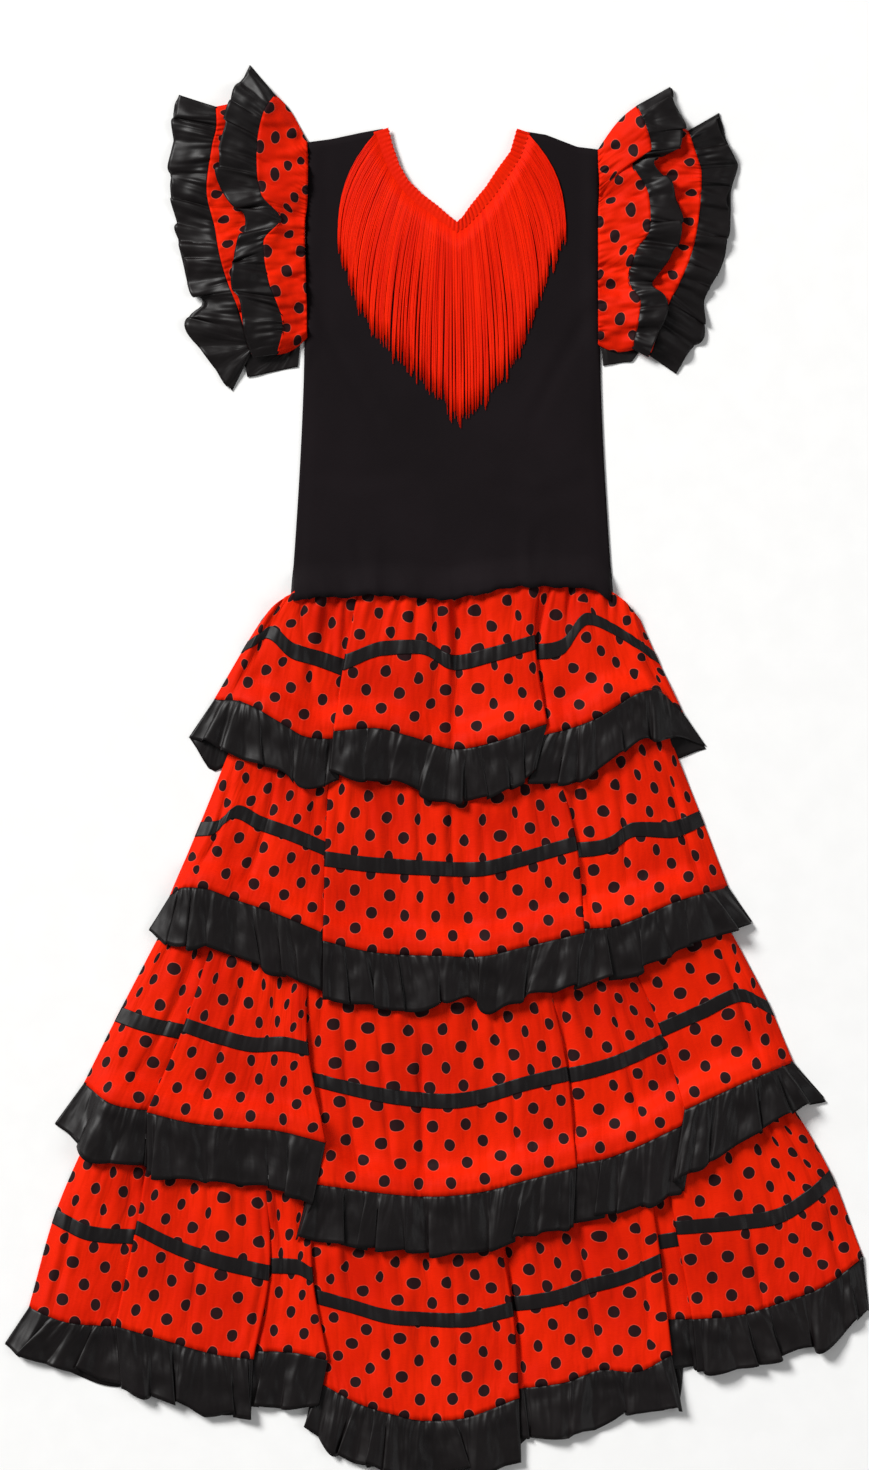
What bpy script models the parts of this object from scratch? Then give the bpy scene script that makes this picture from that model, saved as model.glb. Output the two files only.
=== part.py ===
# Flamenco dress laid flat on its back: x runs to the right, y towards the neck and z up.
# Tables and sizes are in millimetres, and a mesh is made in metres.

import math
import random
from collections import namedtuple

import bmesh
import bpy
from mathutils import Vector
from mathutils.bvhtree import BVHTree

MM = 0.001

# Walls of the cloths and how they lie
DOTTED_WALL = 1.2
SATIN_WALL = 1.0
KNIT_WALL = 1.4
RIBBON_WALL = 1.0
FRINGE_WALL = 1.0
LAYER_GAP = 0.45       # between layers that lie on each other
SEAM_GAP = 0.5         # between edges that are sewn together
FEELER = 1.2           # how far round a point the layers below it are felt for
PROBES = 6             # places felt along each side of a mesh of the grid
STEEPEST = 0.5         # least upward part of a face's direction that thickens its wall
FRONT_LOFT = 3.0       # height of the front panels over the table
SIDE_ROLL = 18.0       # width over which a front comes down to its side seam
TUCK = 6.0             # how far a tier reaches up under the one above
RIBBON_WIDTH = 15.0
BACK_INSET = 2.0       # how far the back's side edges lie inside the front's
TIER_MIDDLE = 0.55     # where the second row of a tier lies between its top and its ribbon
CUFF_TUCK = 0.12       # share of a sleeve's cuff that lies under the puff's seam
SEAM_SHARE = 0.02      # share of a sleeve's piece left open at its seam on the back

# Waves of the ruffles
WAVE_PITCH = 27.0
SLEEVE_WAVE_PITCH = 24.0
WAVE_HEIGHT = 7.0
SLEEVE_WAVE_HEIGHT = 5.6
RUFFLE_MIDDLE = 0.45   # where the middle row of a ruffle lies between its root and hem
MIDDLE_WAVE = 0.7      # share of a wave's height in that row
HEM_RISE = 0.8         # share of a fold's rise at a ruffle's hem
WAVE_STEPS = (0.0, 0.9, 0.75)
FOLD_WIDTH = 14.0      # a narrower stretch of hem is the edge of a fold, with no wave

# A row for each fold of a tier, from the left side seam to the right one. rise is the
# cloth's height there over the front's loft, and show is how far the back ruffle's hem
# reaches below the front one. Each pair is x, y.
Fold = namedtuple("Fold", "rise top band seam hem show")

TIER_1 = [
    Fold(0, (-175, 144), (-189, 128), (-223, 70), (-248, 32), -1),
    Fold(3, (-161, 160), (-178, 136), (-205, 70), (-222, 22), 24),
    Fold(1, (-146, 170), (-166, 144), (-189, 66), (-191, 9), -3),
    Fold(4, (-131, 177), (-143, 127), (-155, 47), (-154, -3), -3),
    Fold(2, (-107, 175), (-117, 119), (-129, 33), (-131, -23), -3),
    Fold(0, (-81, 175), (-94, 108), (-106, 31), (-110, -10), -3),
    Fold(8, (-73, 175), (-86, 116), (-98, 39), (-103, -1), -3),
    Fold(5, (-41, 178), (-52, 129), (-62, 42), (-61, -11), -3),
    Fold(5, (-17, 175), (-17, 130), (-27, 34), (-33, -14), -3),
    Fold(0, (13, 174), (18, 115), (18, 21), (13, -32), -3),
    Fold(5, (49, 181), (55, 123), (53, 27), (58, -28), -3),
    Fold(7, (98, 185), (92, 135), (103, 46), (87, -1), -3),
    Fold(1, (108, 185), (101, 125), (114, 34), (108, -12), -3),
    Fold(2, (129, 186), (125, 131), (137, 43), (133, -13), -3),
    Fold(6, (148, 185), (149, 157), (163, 54), (167, 4), -3),
    Fold(3, (169, 175), (173, 148), (197, 75), (199, 24), -3),
    Fold(2, (185, 165), (193, 136), (217, 80), (221, 31), 24),
    Fold(0, (203, 144), (217, 118), (246, 57), (269, 24), 3),
]
TIER_2 = [
    Fold(0, (-187, 64), (-236, -52), (-267, -126), (-288, -160), -1),
    Fold(2, (-179, 62), (-218, -50), (-253, -117), (-265, -175), -2),
    Fold(5, (-169, 59), (-199, -35), (-232, -118), (-232, -175), -3),
    Fold(2, (-153, 50), (-175, -46), (-201, -129), (-197, -188), -3),
    Fold(5, (-135, 39), (-147, -56), (-165, -141), (-153, -205), -3),
    Fold(1, (-109, 34), (-115, -74), (-119, -165), (-121, -224), -3),
    Fold(7, (-99, 42), (-106, -81), (-106, -170), (-105, -229), -3),
    Fold(4, (-75, 46), (-73, -86), (-71, -180), (-69, -237), -3),
    Fold(2, (-41, 42), (-33, -89), (-33, -184), (-29, -241), -3),
    Fold(5, (-7, 30), (3, -91), (7, -185), (9, -230), -3),
    Fold(2, (18, 24), (25, -92), (29, -186), (31, -226), -3),
    Fold(5, (43, 28), (47, -91), (49, -185), (51, -244), -3),
    Fold(4, (67, 37), (79, -83), (79, -178), (71, -232), -3),
    Fold(6, (97, 46), (130, -66), (137, -162), (133, -218), -3),
    Fold(2, (107, 42), (144, -73), (155, -158), (149, -214), -3),
    Fold(2, (137, 46), (169, -68), (175, -156), (177, -209), -3),
    Fold(5, (159, 57), (197, -52), (203, -146), (209, -199), -3),
    Fold(3, (185, 74), (229, -52), (241, -130), (253, -177), -2),
    Fold(0, (218, 62), (262, -41), (291, -117), (315, -152), -1),
]
TIER_3 = [
    Fold(0, (-247, -114), (-315, -237), (-353, -313), (-382, -354), -1),
    Fold(4, (-231, -114), (-289, -246), (-325, -332), (-345, -386), -2),
    Fold(0, (-215, -122), (-255, -256), (-295, -340), (-297, -396), -3),
    Fold(6, (-205, -126), (-242, -248), (-281, -341), (-279, -403), -3),
    Fold(5, (-185, -130), (-215, -259), (-247, -351), (-241, -411), -3),
    Fold(3, (-165, -138), (-179, -267), (-203, -356), (-201, -414), -3),
    Fold(6, (-149, -146), (-155, -266), (-161, -359), (-163, -418), -3),
    Fold(9, (-131, -156), (-134, -271), (-118, -371), (-131, -433), -3),
    Fold(0, (-121, -162), (-127, -297), (-106, -412), (-119, -469), -3),
    Fold(2, (-97, -170), (-91, -310), (-75, -419), (-77, -475), -3),
    Fold(5, (-69, -176), (-51, -318), (-41, -423), (-37, -477), -3),
    Fold(1, (-37, -179), (-16, -322), (-13, -425), (-5, -481), -3),
    Fold(5, (-1, -180), (11, -323), (15, -424), (25, -482), -3),
    Fold(2, (33, -180), (47, -318), (51, -419), (53, -479), -3),
    Fold(5, (59, -176), (83, -307), (83, -410), (79, -470), -3),
    Fold(6, (93, -168), (124, -296), (133, -396), (129, -456), -3),
    Fold(2, (103, -166), (133, -299), (143, -394), (141, -454), -3),
    Fold(4, (129, -158), (169, -288), (175, -385), (179, -442), -3),
    Fold(0, (163, -152), (217, -261), (243, -348), (227, -420), -3),
    Fold(7, (177, -150), (227, -252), (253, -338), (245, -411), -3),
    Fold(5, (207, -138), (263, -234), (287, -320), (283, -384), -3),
    Fold(3, (239, -125), (301, -218), (323, -304), (327, -357), -2),
    Fold(0, (267, -118), (330, -231), (356, -292), (387, -328), -1),
]
TIER_4 = [
    Fold(0, (-325, -324), (-380, -439), (-408, -537), (-432, -574), -1),
    Fold(4, (-309, -331), (-345, -455), (-371, -551), (-397, -591), -2),
    Fold(0, (-285, -335), (-301, -459), (-325, -556), (-319, -620), -3),
    Fold(8, (-273, -338), (-295, -450), (-315, -555), (-309, -618), -3),
    Fold(5, (-245, -346), (-257, -470), (-269, -570), (-271, -630), -3),
    Fold(6, (-211, -349), (-213, -484), (-223, -583), (-223, -648), -3),
    Fold(6, (-181, -351), (-171, -494), (-188, -588), (-191, -644), -3),
    Fold(1, (-175, -352), (-165, -487), (-181, -580), (-183, -636), -3),
    Fold(4, (-153, -354), (-141, -488), (-141, -582), (-147, -638), -3),
    Fold(7, (-125, -362), (-131, -496), (-115, -589), (-125, -635), -3),
    Fold(0, (-113, -380), (-121, -514), (-105, -610), (-113, -655), -3),
    Fold(3, (-97, -408), (-87, -528), (-77, -633), (-89, -690), -3),
    Fold(5, (-65, -414), (-51, -538), (-45, -643), (-45, -703), -3),
    Fold(2, (-33, -418), (-17, -541), (-13, -650), (-7, -705), -3),
    Fold(5, (3, -419), (23, -542), (27, -647), (33, -702), -3),
    Fold(6, (41, -415), (66, -531), (71, -627), (69, -692), -3),
    Fold(0, (51, -413), (81, -527), (91, -619), (97, -666), -3),
    Fold(5, (89, -402), (119, -519), (129, -611), (129, -668), -3),
    Fold(2, (119, -394), (151, -508), (165, -599), (167, -656), -3),
    Fold(6, (153, -384), (185, -499), (197, -601), (203, -639), -3),
    Fold(7, (195, -368), (216, -483), (230, -584), (239, -641), -3),
    Fold(0, (209, -362), (227, -466), (237, -549), (249, -594), -3),
    Fold(8, (223, -354), (244, -450), (264, -548), (266, -601), -3),
    Fold(5, (263, -326), (293, -445), (303, -544), (315, -596), -3),
    Fold(2, (291, -314), (339, -438), (343, -532), (353, -583), -3),
    Fold(4, (307, -306), (369, -420), (385, -516), (395, -570), -2),
    Fold(0, (329, -300), (392, -400), (426, -487), (432, -540), -1),
]
TIERS = [TIER_1, TIER_2, TIER_3, TIER_4]

# Share of a fold's rise in each row of a tier: top, middle, ribbon's two edges, seam
TIER_RISE = (0.2, 0.8, 1.0, 1.0, 1.0)

# A row for each line of the bodice from its left side to its right one: the shoulder or
# neck edge, the waist edge, and the rise of the gathers over the waist
Line = namedtuple("Line", "rise top waist")

BODICE = [
    Line(0, (-132, 627), (-146, 168)),
    Line(2, (-104, 631), (-118, 173)),
    Line(1, (-76, 637), (-90, 171)),
    Line(4, (-53, 642), (-62, 175)),
    Line(2, (-45, 620), (-50, 175)),
    Line(3, (-17, 577), (-24, 172)),
    Line(0, (20, 548), (14, 170)),
    Line(3, (48, 577), (50, 178)),
    Line(1, (77, 622), (80, 183)),
    Line(3, (84, 640), (93, 182)),
    Line(1, (109, 635), (118, 183)),
    Line(2, (140, 623), (146, 183)),
    Line(0, (163, 620), (176, 169)),
]
BODICE_ROWS = (0.0, 0.08, 0.2, 0.35, 0.5, 0.65, 0.8, 0.9, 1.0)
BODICE_RISE = (0, 0, 0, 0, 0, 0, 0.3, 0.8, 1.0)
WAIST_PULL = 6.0       # how far the bodice's sides curve in under the arms

# A row for each fold across a sleeve, from its upper edge to its lower one
Tuft = namedtuple("Tuft", "rise arm puff_seam upper_hem cuff_seam lower_hem")

SLEEVE_LEFT = [
    Tuft(0, (-130, 629), (-162, 675), (-187, 705), (-221, 663), (-258, 675)),
    Tuft(6, (-129, 610), (-173, 656), (-202, 677), (-220, 646), (-264, 654)),
    Tuft(9, (-129, 585), (-180, 615), (-218, 627), (-225, 620), (-263, 622)),
    Tuft(9, (-130, 562), (-175, 574), (-213, 572), (-230, 578), (-267, 585)),
    Tuft(2, (-132, 546), (-156, 550), (-190, 548), (-222, 542), (-260, 548)),
    Tuft(8, (-132, 526), (-173, 527), (-203, 516), (-217, 514), (-255, 514)),
    Tuft(9, (-131, 490), (-168, 488), (-206, 486), (-208, 484), (-247, 478)),
    Tuft(5, (-130, 458), (-156, 455), (-196, 458), (-197, 456), (-235, 466)),
    Tuft(4, (-130, 445), (-154, 442), (-192, 435), (-191, 434), (-250, 448)),
    Tuft(0, (-130, 432), (-160, 415), (-184, 412), (-186, 416), (-205, 379)),
]
SLEEVE_RIGHT = [
    Tuft(0, (161, 620), (200, 664), (233, 683), (251, 639), (282, 657)),
    Tuft(6, (161, 605), (208, 644), (243, 652), (255, 627), (288, 633)),
    Tuft(8, (162, 590), (214, 620), (246, 624), (261, 609), (299, 610)),
    Tuft(2, (162, 575), (195, 607), (219, 607), (264, 598), (301, 602)),
    Tuft(8, (161, 555), (211, 575), (235, 580), (264, 580), (294, 578)),
    Tuft(9, (161, 525), (213, 542), (244, 538), (260, 542), (291, 538)),
    Tuft(7, (161, 500), (199, 518), (235, 510), (253, 512), (283, 500)),
    Tuft(2, (161, 480), (192, 488), (215, 487), (240, 482), (267, 469)),
    Tuft(5, (161, 458), (203, 468), (231, 470), (232, 467), (267, 448)),
    Tuft(0, (161, 425), (196, 420), (211, 412), (213, 414), (239, 396)),
]
EDGES = (0.0, 1.0)
PUFF_ROWS = (0.0, 0.35, 0.7, 1.0)
PUFF_RISE = (0.2, 0.9, 1.0, 0.4)
CUFF_ROWS = (0.0, 0.5, 1.0)
CUFF_RISE = (0.0, 0.2, 0.4)
SLEEVE_RUFFLE_RISE = 0.4
# Turned end of the back's upper ruffle, which shows below the puff: root and hem
UNDERARM_LEFT = [((-146, 426), (-190, 393)), ((-136, 430), (-139, 403))]
UNDERARM_RIGHT = [((178, 424), (196, 409)), ((164, 424), (166, 404))]

# Fringe: a header tape round the neck and strands that fan out below it. The strands'
# roots and tips are read from these lines, from the left shoulder to the right one.
TAPE_TOP = [(-54, 640), (-46, 618), (-35, 598), (-17, 575), (3, 557), (20, 546),
            (33, 556), (49, 575), (64, 600), (78, 623), (86, 638)]
TAPE_ROOT = [(-76, 633), (-62, 607), (-46, 583), (-26, 562), (-3, 544), (20, 533),
             (39, 544), (58, 563), (76, 586), (93, 610), (108, 631)]
FRINGE_TIPS = [(-99, 527), (-87, 490), (-77, 458), (-57, 428), (-14, 388), (22, 347),
               (50, 372), (76, 405), (95, 452), (113, 500), (128, 534)]
FRINGE_BOW = 13.0      # how far the outermost strands bow out
STRANDS = 72
STRAND_SHARE = 0.62    # part of each step of the tape that the strand takes
STRAND_BEND = 0.35     # where a strand bends between its root and tip

# Finishes: colour and roughness
FINISHES = {
    "dotted": ((0.92, 0.05, 0.02, 1.0), 0.55),
    "satin": ((0.012, 0.011, 0.012, 1.0), 0.35),
    "knit": ((0.012, 0.010, 0.011, 1.0), 0.85),
    "fringe": ((0.90, 0.06, 0.03, 1.0), 0.5),
}

Laid = namedtuple("Laid", "name tree low high")


def clear_scene():
    for item in list(bpy.data.objects):
        bpy.data.objects.remove(item)


def make_finishes():
    finishes = {}
    for name, (colour, roughness) in FINISHES.items():
        finish = bpy.data.materials.new(name)
        finish.use_nodes = True
        shader = finish.node_tree.nodes["Principled BSDF"]
        shader.inputs["Base Color"].default_value = colour
        shader.inputs["Roughness"].default_value = roughness
        shader.inputs["Metallic"].default_value = 0.0
        finishes[name] = finish
    return finishes


def mix(first, last, share):
    return [a + (b - a) * share for a, b in zip(first, last)]


def ease(share):
    return 0.5 - 0.5 * math.cos(math.pi * min(max(share, 0.0), 1.0))


def moved_towards(point, target, distance):
    return mix(point, target, distance / math.dist(point, target))


def read_line(points, share):
    place = share * (len(points) - 1)
    index = min(int(place), len(points) - 2)
    return mix(points[index], points[index + 1], place - index)


def height_below(laid, x, y, skip):
    """Height in mm at which a layer can lie over what is laid already."""
    highest = 0.0
    for piece in laid:
        inside = piece.low[0] <= x <= piece.high[0] and piece.low[1] <= y <= piece.high[1]
        if piece.name in skip or not inside:
            continue
        for dx, dy in ((0, 0), (1, 0), (-1, 0), (0, 1), (0, -1)):
            start = Vector(((x + FEELER * dx) * MM, (y + FEELER * dy) * MM, 1.0))
            hit = piece.tree.ray_cast(start, Vector((0, 0, -1)))[0]
            if hit is not None:
                highest = max(highest, hit.z / MM + LAYER_GAP)
    return highest


def lay_on_layers(laid, columns, skip):
    """Lift each point over all that lies below the meshes of the grid round it."""
    across = len(columns) - 1
    down = len(columns[0]) - 1
    below = {}
    for c in range(across):
        for r in range(down):
            highest = 0.0
            for i in range(PROBES + 1):
                upper = mix(columns[c][r][:2], columns[c + 1][r][:2], i / PROBES)
                lower = mix(columns[c][r + 1][:2], columns[c + 1][r + 1][:2], i / PROBES)
                for j in range(PROBES + 1):
                    x, y = mix(upper, lower, j / PROBES)
                    highest = max(highest, height_below(laid, x, y, skip))
            below[c, r] = highest
    lifted = []
    for c, column in enumerate(columns):
        points = []
        for r, (x, y, z) in enumerate(column):
            around = [(c + i, r + j) for i in (-1, 0) for j in (-1, 0)]
            points.append((x, y, max([z] + [below.get(mesh, 0.0) for mesh in around])))
        lifted.append(points)
    return lifted


def make_piece(laid, name, points, faces, wall, finish):
    """Make a sheet from its underside, and raise its upper side by the wall."""
    shape = bmesh.new()
    corners = [shape.verts.new([value * MM for value in point]) for point in points]
    for face in faces:
        shape.faces.new([corners[index] for index in face])
    shape.normal_update()
    if sum(face.normal.z for face in shape.faces) < 0:
        bmesh.ops.reverse_faces(shape, faces=shape.faces[:])
        shape.normal_update()
    upright = {corner.co.copy().freeze(): max(corner.normal.z, STEEPEST) for corner in corners}
    raised = bmesh.ops.extrude_face_region(shape, geom=shape.faces[:])
    for corner in raised["geom"]:
        if isinstance(corner, bmesh.types.BMVert):
            corner.co.z += wall * MM / upright[corner.co.copy().freeze()]
    bmesh.ops.recalc_face_normals(shape, faces=shape.faces[:])
    bmesh.ops.triangulate(shape, faces=shape.faces[:])
    tree = BVHTree.FromBMesh(shape)
    mesh = bpy.data.meshes.new(name)
    shape.to_mesh(mesh)
    shape.free()
    mesh.materials.append(finish)
    bpy.context.collection.objects.link(bpy.data.objects.new(name, mesh))
    low = [min(point[axis] for point in points) - FEELER for axis in (0, 1)]
    high = [max(point[axis] for point in points) + FEELER for axis in (0, 1)]
    laid.append(Laid(name, tree, low, high))


def make_sheet(laid, name, columns, wall, finish, skip=()):
    """Lay a grid of columns on the layers below and make it a piece of cloth."""
    columns = lay_on_layers(laid, columns, skip)
    rows = len(columns[0])
    points = [point for column in columns for point in column]
    faces = []
    for c in range(len(columns) - 1):
        for r in range(rows - 1):
            first = c * rows + r
            faces.append((first, first + 1, first + rows + 1, first + rows))
    make_piece(laid, name, points, faces, wall, finish)
    return columns


def roll_sides(columns):
    """Bring a front panel down to the table at its two sides."""
    rolled = []
    for column in columns:
        points = []
        for r, (x, y, z) in enumerate(column):
            side = min(math.dist((x, y), columns[0][r][:2]),
                       math.dist((x, y), columns[-1][r][:2]))
            points.append((x, y, z * ease(side / SIDE_ROLL)))
        rolled.append(points)
    return rolled


def inset_sides(columns):
    """Move the side edges of a back panel in, so that the front's hide them."""
    columns = [list(column) for column in columns]
    for r in range(len(columns[0])):
        for edge, inner in ((0, 1), (-1, -2)):
            x, y, z = columns[edge][r]
            near = moved_towards((x, y), columns[inner][r][:2], BACK_INSET)
            columns[edge][r] = (near[0], near[1], z)
    return columns


def tier_lines(fold):
    top = (fold.top[0], fold.top[1] + TUCK)
    ribbon_end = moved_towards(fold.band, fold.seam, RIBBON_WIDTH)
    return [top, mix(top, fold.band, TIER_MIDDLE), fold.band, ribbon_end, fold.seam]


def tier_columns(folds, steps, loft, relief):
    """Columns of a tier between its folds, each from the top seam to the lower one."""
    columns = []
    for left, right in zip(folds, folds[1:]):
        for step in range(steps):
            share = step / steps
            rise = relief * (left.rise + (right.rise - left.rise) * ease(share))
            columns.append([(*mix(a, b, share), loft + rise * part) for a, b, part
                            in zip(tier_lines(left), tier_lines(right), TIER_RISE)])
    last = folds[-1]
    columns.append([(*point, loft + relief * last.rise * part)
                    for point, part in zip(tier_lines(last), TIER_RISE)])
    return columns


def wave_columns(roots, hems, rises, pitch, loft, height, seed):
    """Columns of a ruffle: flat at the root, in uneven waves at the hem."""
    chance = random.Random(seed)
    columns = []
    for index in range(len(roots) - 1):
        width = math.dist(hems[index], hems[index + 1])
        waves = max(1, round(width / pitch)) if width > FOLD_WIDTH and height else 0
        steps = max(1, waves * len(WAVE_STEPS))
        crest = height * chance.uniform(0.6, 1.0)
        for step in range(steps):
            share = step / steps
            wave = crest * WAVE_STEPS[step % len(WAVE_STEPS)] if waves else 0.0
            rise = rises[index] + (rises[index + 1] - rises[index]) * ease(share)
            root = mix(roots[index], roots[index + 1], share)
            hem = mix(hems[index], hems[index + 1], share)
            root = moved_towards(root, hem, SEAM_GAP)
            middle = mix(root, hem, RUFFLE_MIDDLE)
            columns.append([(*root, loft + rise),
                            (*middle, loft + rise + MIDDLE_WAVE * wave),
                            (*hem, loft + HEM_RISE * rise + wave)])
    root = moved_towards(roots[-1], hems[-1], SEAM_GAP)
    middle = mix(root, hems[-1], RUFFLE_MIDDLE)
    columns.append([(*root, loft), (*middle, loft), (*hems[-1], loft)])
    return columns


def make_tier(laid, finishes, number, side):
    """A tier of the skirt, its ruffle and its ribbon, on one side of the dress."""
    folds = TIERS[number - 1]
    front = side == "front"
    names = {kind: f"{kind}_{number}_{side}" for kind in ("tier", "ruffle", "ribbon")}
    if front:
        columns = roll_sides(tier_columns(folds, 2, FRONT_LOFT, 1.0))
        columns = make_sheet(laid, names["tier"], columns, DOTTED_WALL, finishes["dotted"])
        waves = wave_columns([fold.seam for fold in folds], [fold.hem for fold in folds],
                             [fold.rise for fold in folds], WAVE_PITCH, FRONT_LOFT,
                             WAVE_HEIGHT, seed=number)
        make_sheet(laid, names["ruffle"], roll_sides(waves), SATIN_WALL,
                   finishes["satin"], skip=(names["tier"],))
        ribbon = [column[2:4] for column in columns]
        make_sheet(laid, names["ribbon"], ribbon, RIBBON_WALL, finishes["satin"])
        return
    hems = [(fold.hem[0], fold.hem[1] - fold.show) for fold in folds]
    flat = wave_columns([fold.seam for fold in folds], hems, [0] * len(folds),
                        WAVE_PITCH, 0.0, 0.0, seed=number)
    flat = [[column[0], column[2]] for column in inset_sides(flat)]
    make_sheet(laid, names["ruffle"], flat, SATIN_WALL, finishes["satin"])
    columns = inset_sides(tier_columns(folds, 1, 0.0, 0.0))
    ribbon = [column[2:4] for column in columns]
    make_sheet(laid, names["ribbon"], ribbon, RIBBON_WALL, finishes["satin"])
    make_sheet(laid, names["tier"], columns, DOTTED_WALL, finishes["dotted"],
               skip=(names["ruffle"],))


def bodice_columns(loft, relief, steps, rows):
    columns = []
    for index, line in enumerate(BODICE):
        following = BODICE[index + 1] if index + 1 < len(BODICE) else line
        for step in range(steps if following is not line else 1):
            share = step / steps
            top = mix(line.top, following.top, share)
            waist = mix(line.waist, following.waist, share)
            rise = line.rise + (following.rise - line.rise) * ease(share)
            on_side = share == 0 and index in (0, len(BODICE) - 1)
            inward = WAIST_PULL * (1 if index == 0 else -1) if on_side else 0.0
            column = []
            for row in rows:
                x, y = mix(top, waist, row)
                part = BODICE_RISE[BODICE_ROWS.index(row)] * relief
                column.append((x + inward * math.sin(math.pi * row), y, loft + rise * part))
            columns.append(column)
    return columns


def make_bodice(laid, finishes, side):
    if side == "back":
        columns = bodice_columns(0.0, 0.0, 1, BODICE_ROWS[::2])
        columns = inset_sides(columns)
    else:
        columns = roll_sides(bodice_columns(FRONT_LOFT, 1.0, 2, BODICE_ROWS))
    make_sheet(laid, f"bodice_{side}", columns, KNIT_WALL, finishes["knit"])


def band_between(first, last, shares, loft, rises, parts):
    """Columns between two lines of points, with a row for each share."""
    return [[(*mix(a, b, share), loft + rise * part) for share, part in zip(shares, parts)]
            for a, b, rise in zip(first, last, rises)]


def make_sleeve(laid, finishes, name, tufts, underarm, side):
    """A puff, an upper ruffle, a cuff and a lower ruffle, on one side of the sleeve."""
    front = side == "front"
    arm, puff_seam, upper_hem = ([tuft[k] for tuft in tufts] for k in (1, 2, 3))
    cuff_seam, lower_hem = ([tuft[k] for tuft in tufts] for k in (4, 5))
    rises = [tuft.rise for tuft in tufts]
    cuff_top = [mix(a, b, CUFF_TUCK) for a, b in zip(puff_seam, cuff_seam)]
    names = {kind: f"sleeve_{name}_{kind}_{side}" for kind in
             ("puff", "upper_ruffle", "cuff", "lower_ruffle")}
    if front:
        cuff = band_between(cuff_top, cuff_seam, CUFF_ROWS, FRONT_LOFT, rises, CUFF_RISE)
        make_sheet(laid, names["cuff"], roll_sides(cuff), DOTTED_WALL, finishes["dotted"])
        low_rises = [SLEEVE_RUFFLE_RISE * rise for rise in rises]
        lower = wave_columns(cuff_seam, lower_hem, low_rises, SLEEVE_WAVE_PITCH,
                             FRONT_LOFT, SLEEVE_WAVE_HEIGHT, seed=len(name))
        make_sheet(laid, names["lower_ruffle"], roll_sides(lower), SATIN_WALL,
                   finishes["satin"], skip=(names["cuff"],))
        puff = band_between(arm, puff_seam, PUFF_ROWS, FRONT_LOFT, rises, PUFF_RISE)
        make_sheet(laid, names["puff"], roll_sides(puff), DOTTED_WALL, finishes["dotted"])
        upper = wave_columns(puff_seam, upper_hem, low_rises, SLEEVE_WAVE_PITCH,
                             FRONT_LOFT, SLEEVE_WAVE_HEIGHT, seed=2 + len(name))
        make_sheet(laid, names["upper_ruffle"], roll_sides(upper), SATIN_WALL,
                   finishes["satin"], skip=(names["puff"],))
        return
    flat = [0] * len(tufts)
    lower = band_between(cuff_seam, lower_hem, EDGES, 0.0, flat, EDGES)
    make_sheet(laid, names["lower_ruffle"], inset_sides(lower), SATIN_WALL,
               finishes["satin"])
    roots = puff_seam[:-2] + [root for root, hem in underarm]
    hems = upper_hem[:-2] + [hem for root, hem in underarm]
    upper = band_between(roots, hems, (SEAM_SHARE, 1.0), 0.0, flat, EDGES)
    make_sheet(laid, names["upper_ruffle"], inset_sides(upper), SATIN_WALL,
               finishes["satin"])
    cuff = band_between(cuff_top, cuff_seam, (0.0, 1.0 - SEAM_SHARE), 0.0, flat, EDGES)
    make_sheet(laid, names["cuff"], inset_sides(cuff), DOTTED_WALL, finishes["dotted"])
    puff = band_between(arm, puff_seam, (0.0, 1.0 - SEAM_SHARE), 0.0, flat, EDGES)
    make_sheet(laid, names["puff"], inset_sides(puff), DOTTED_WALL, finishes["dotted"])


def make_fringe(laid, finishes):
    """The header tape with its strands, cut as one comb that lies on the bodice."""
    height = FRONT_LOFT + KNIT_WALL + LAYER_GAP
    points = []
    faces = []

    def add(x, y):
        points.append((x, y, height))
        return len(points) - 1

    last = None
    for strand in range(STRANDS):
        start = strand / STRANDS
        end = (strand + STRAND_SHARE) / STRANDS
        corners = [add(*read_line(TAPE_TOP, start)), add(*read_line(TAPE_ROOT, start)),
                   add(*read_line(TAPE_ROOT, end)), add(*read_line(TAPE_TOP, end))]
        faces.append(corners)
        if last:
            faces.append((last[3], last[2], corners[1], corners[0]))
        last = corners
        middle = 0.5 * (start + end)
        outward = FRINGE_BOW * (2 * middle - 1) ** 3
        left = read_line(TAPE_ROOT, start)
        right = read_line(TAPE_ROOT, end)
        width = right[0] - left[0]
        tip = read_line(FRINGE_TIPS, middle)
        bend = mix(mix(left, right, 0.5), tip, STRAND_BEND)
        upper = [add(bend[0] + outward + half, bend[1]) for half in (-width / 2, width / 2)]
        lower = [add(tip[0] + half, tip[1]) for half in (-width / 2, width / 2)]
        faces.append((corners[1], upper[0], upper[1], corners[2]))
        faces.append((upper[0], lower[0], lower[1], upper[1]))
    make_piece(laid, "neck_fringe", points, faces, FRINGE_WALL, finishes["fringe"])


def build():
    clear_scene()
    finishes = make_finishes()
    laid = []
    sleeves = (("left", SLEEVE_LEFT, UNDERARM_LEFT), ("right", SLEEVE_RIGHT, UNDERARM_RIGHT))
    make_bodice(laid, finishes, "back")
    for number in (1, 2, 3, 4):
        make_tier(laid, finishes, number, "back")
    for name, tufts, underarm in sleeves:
        make_sleeve(laid, finishes, name, tufts, underarm, "back")
    for number in (4, 3, 2, 1):
        make_tier(laid, finishes, number, "front")
    make_bodice(laid, finishes, "front")
    for name, tufts, underarm in sleeves:
        make_sleeve(laid, finishes, name, tufts, underarm, "front")
    make_fringe(laid, finishes)


build()
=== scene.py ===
import math
import random

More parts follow.
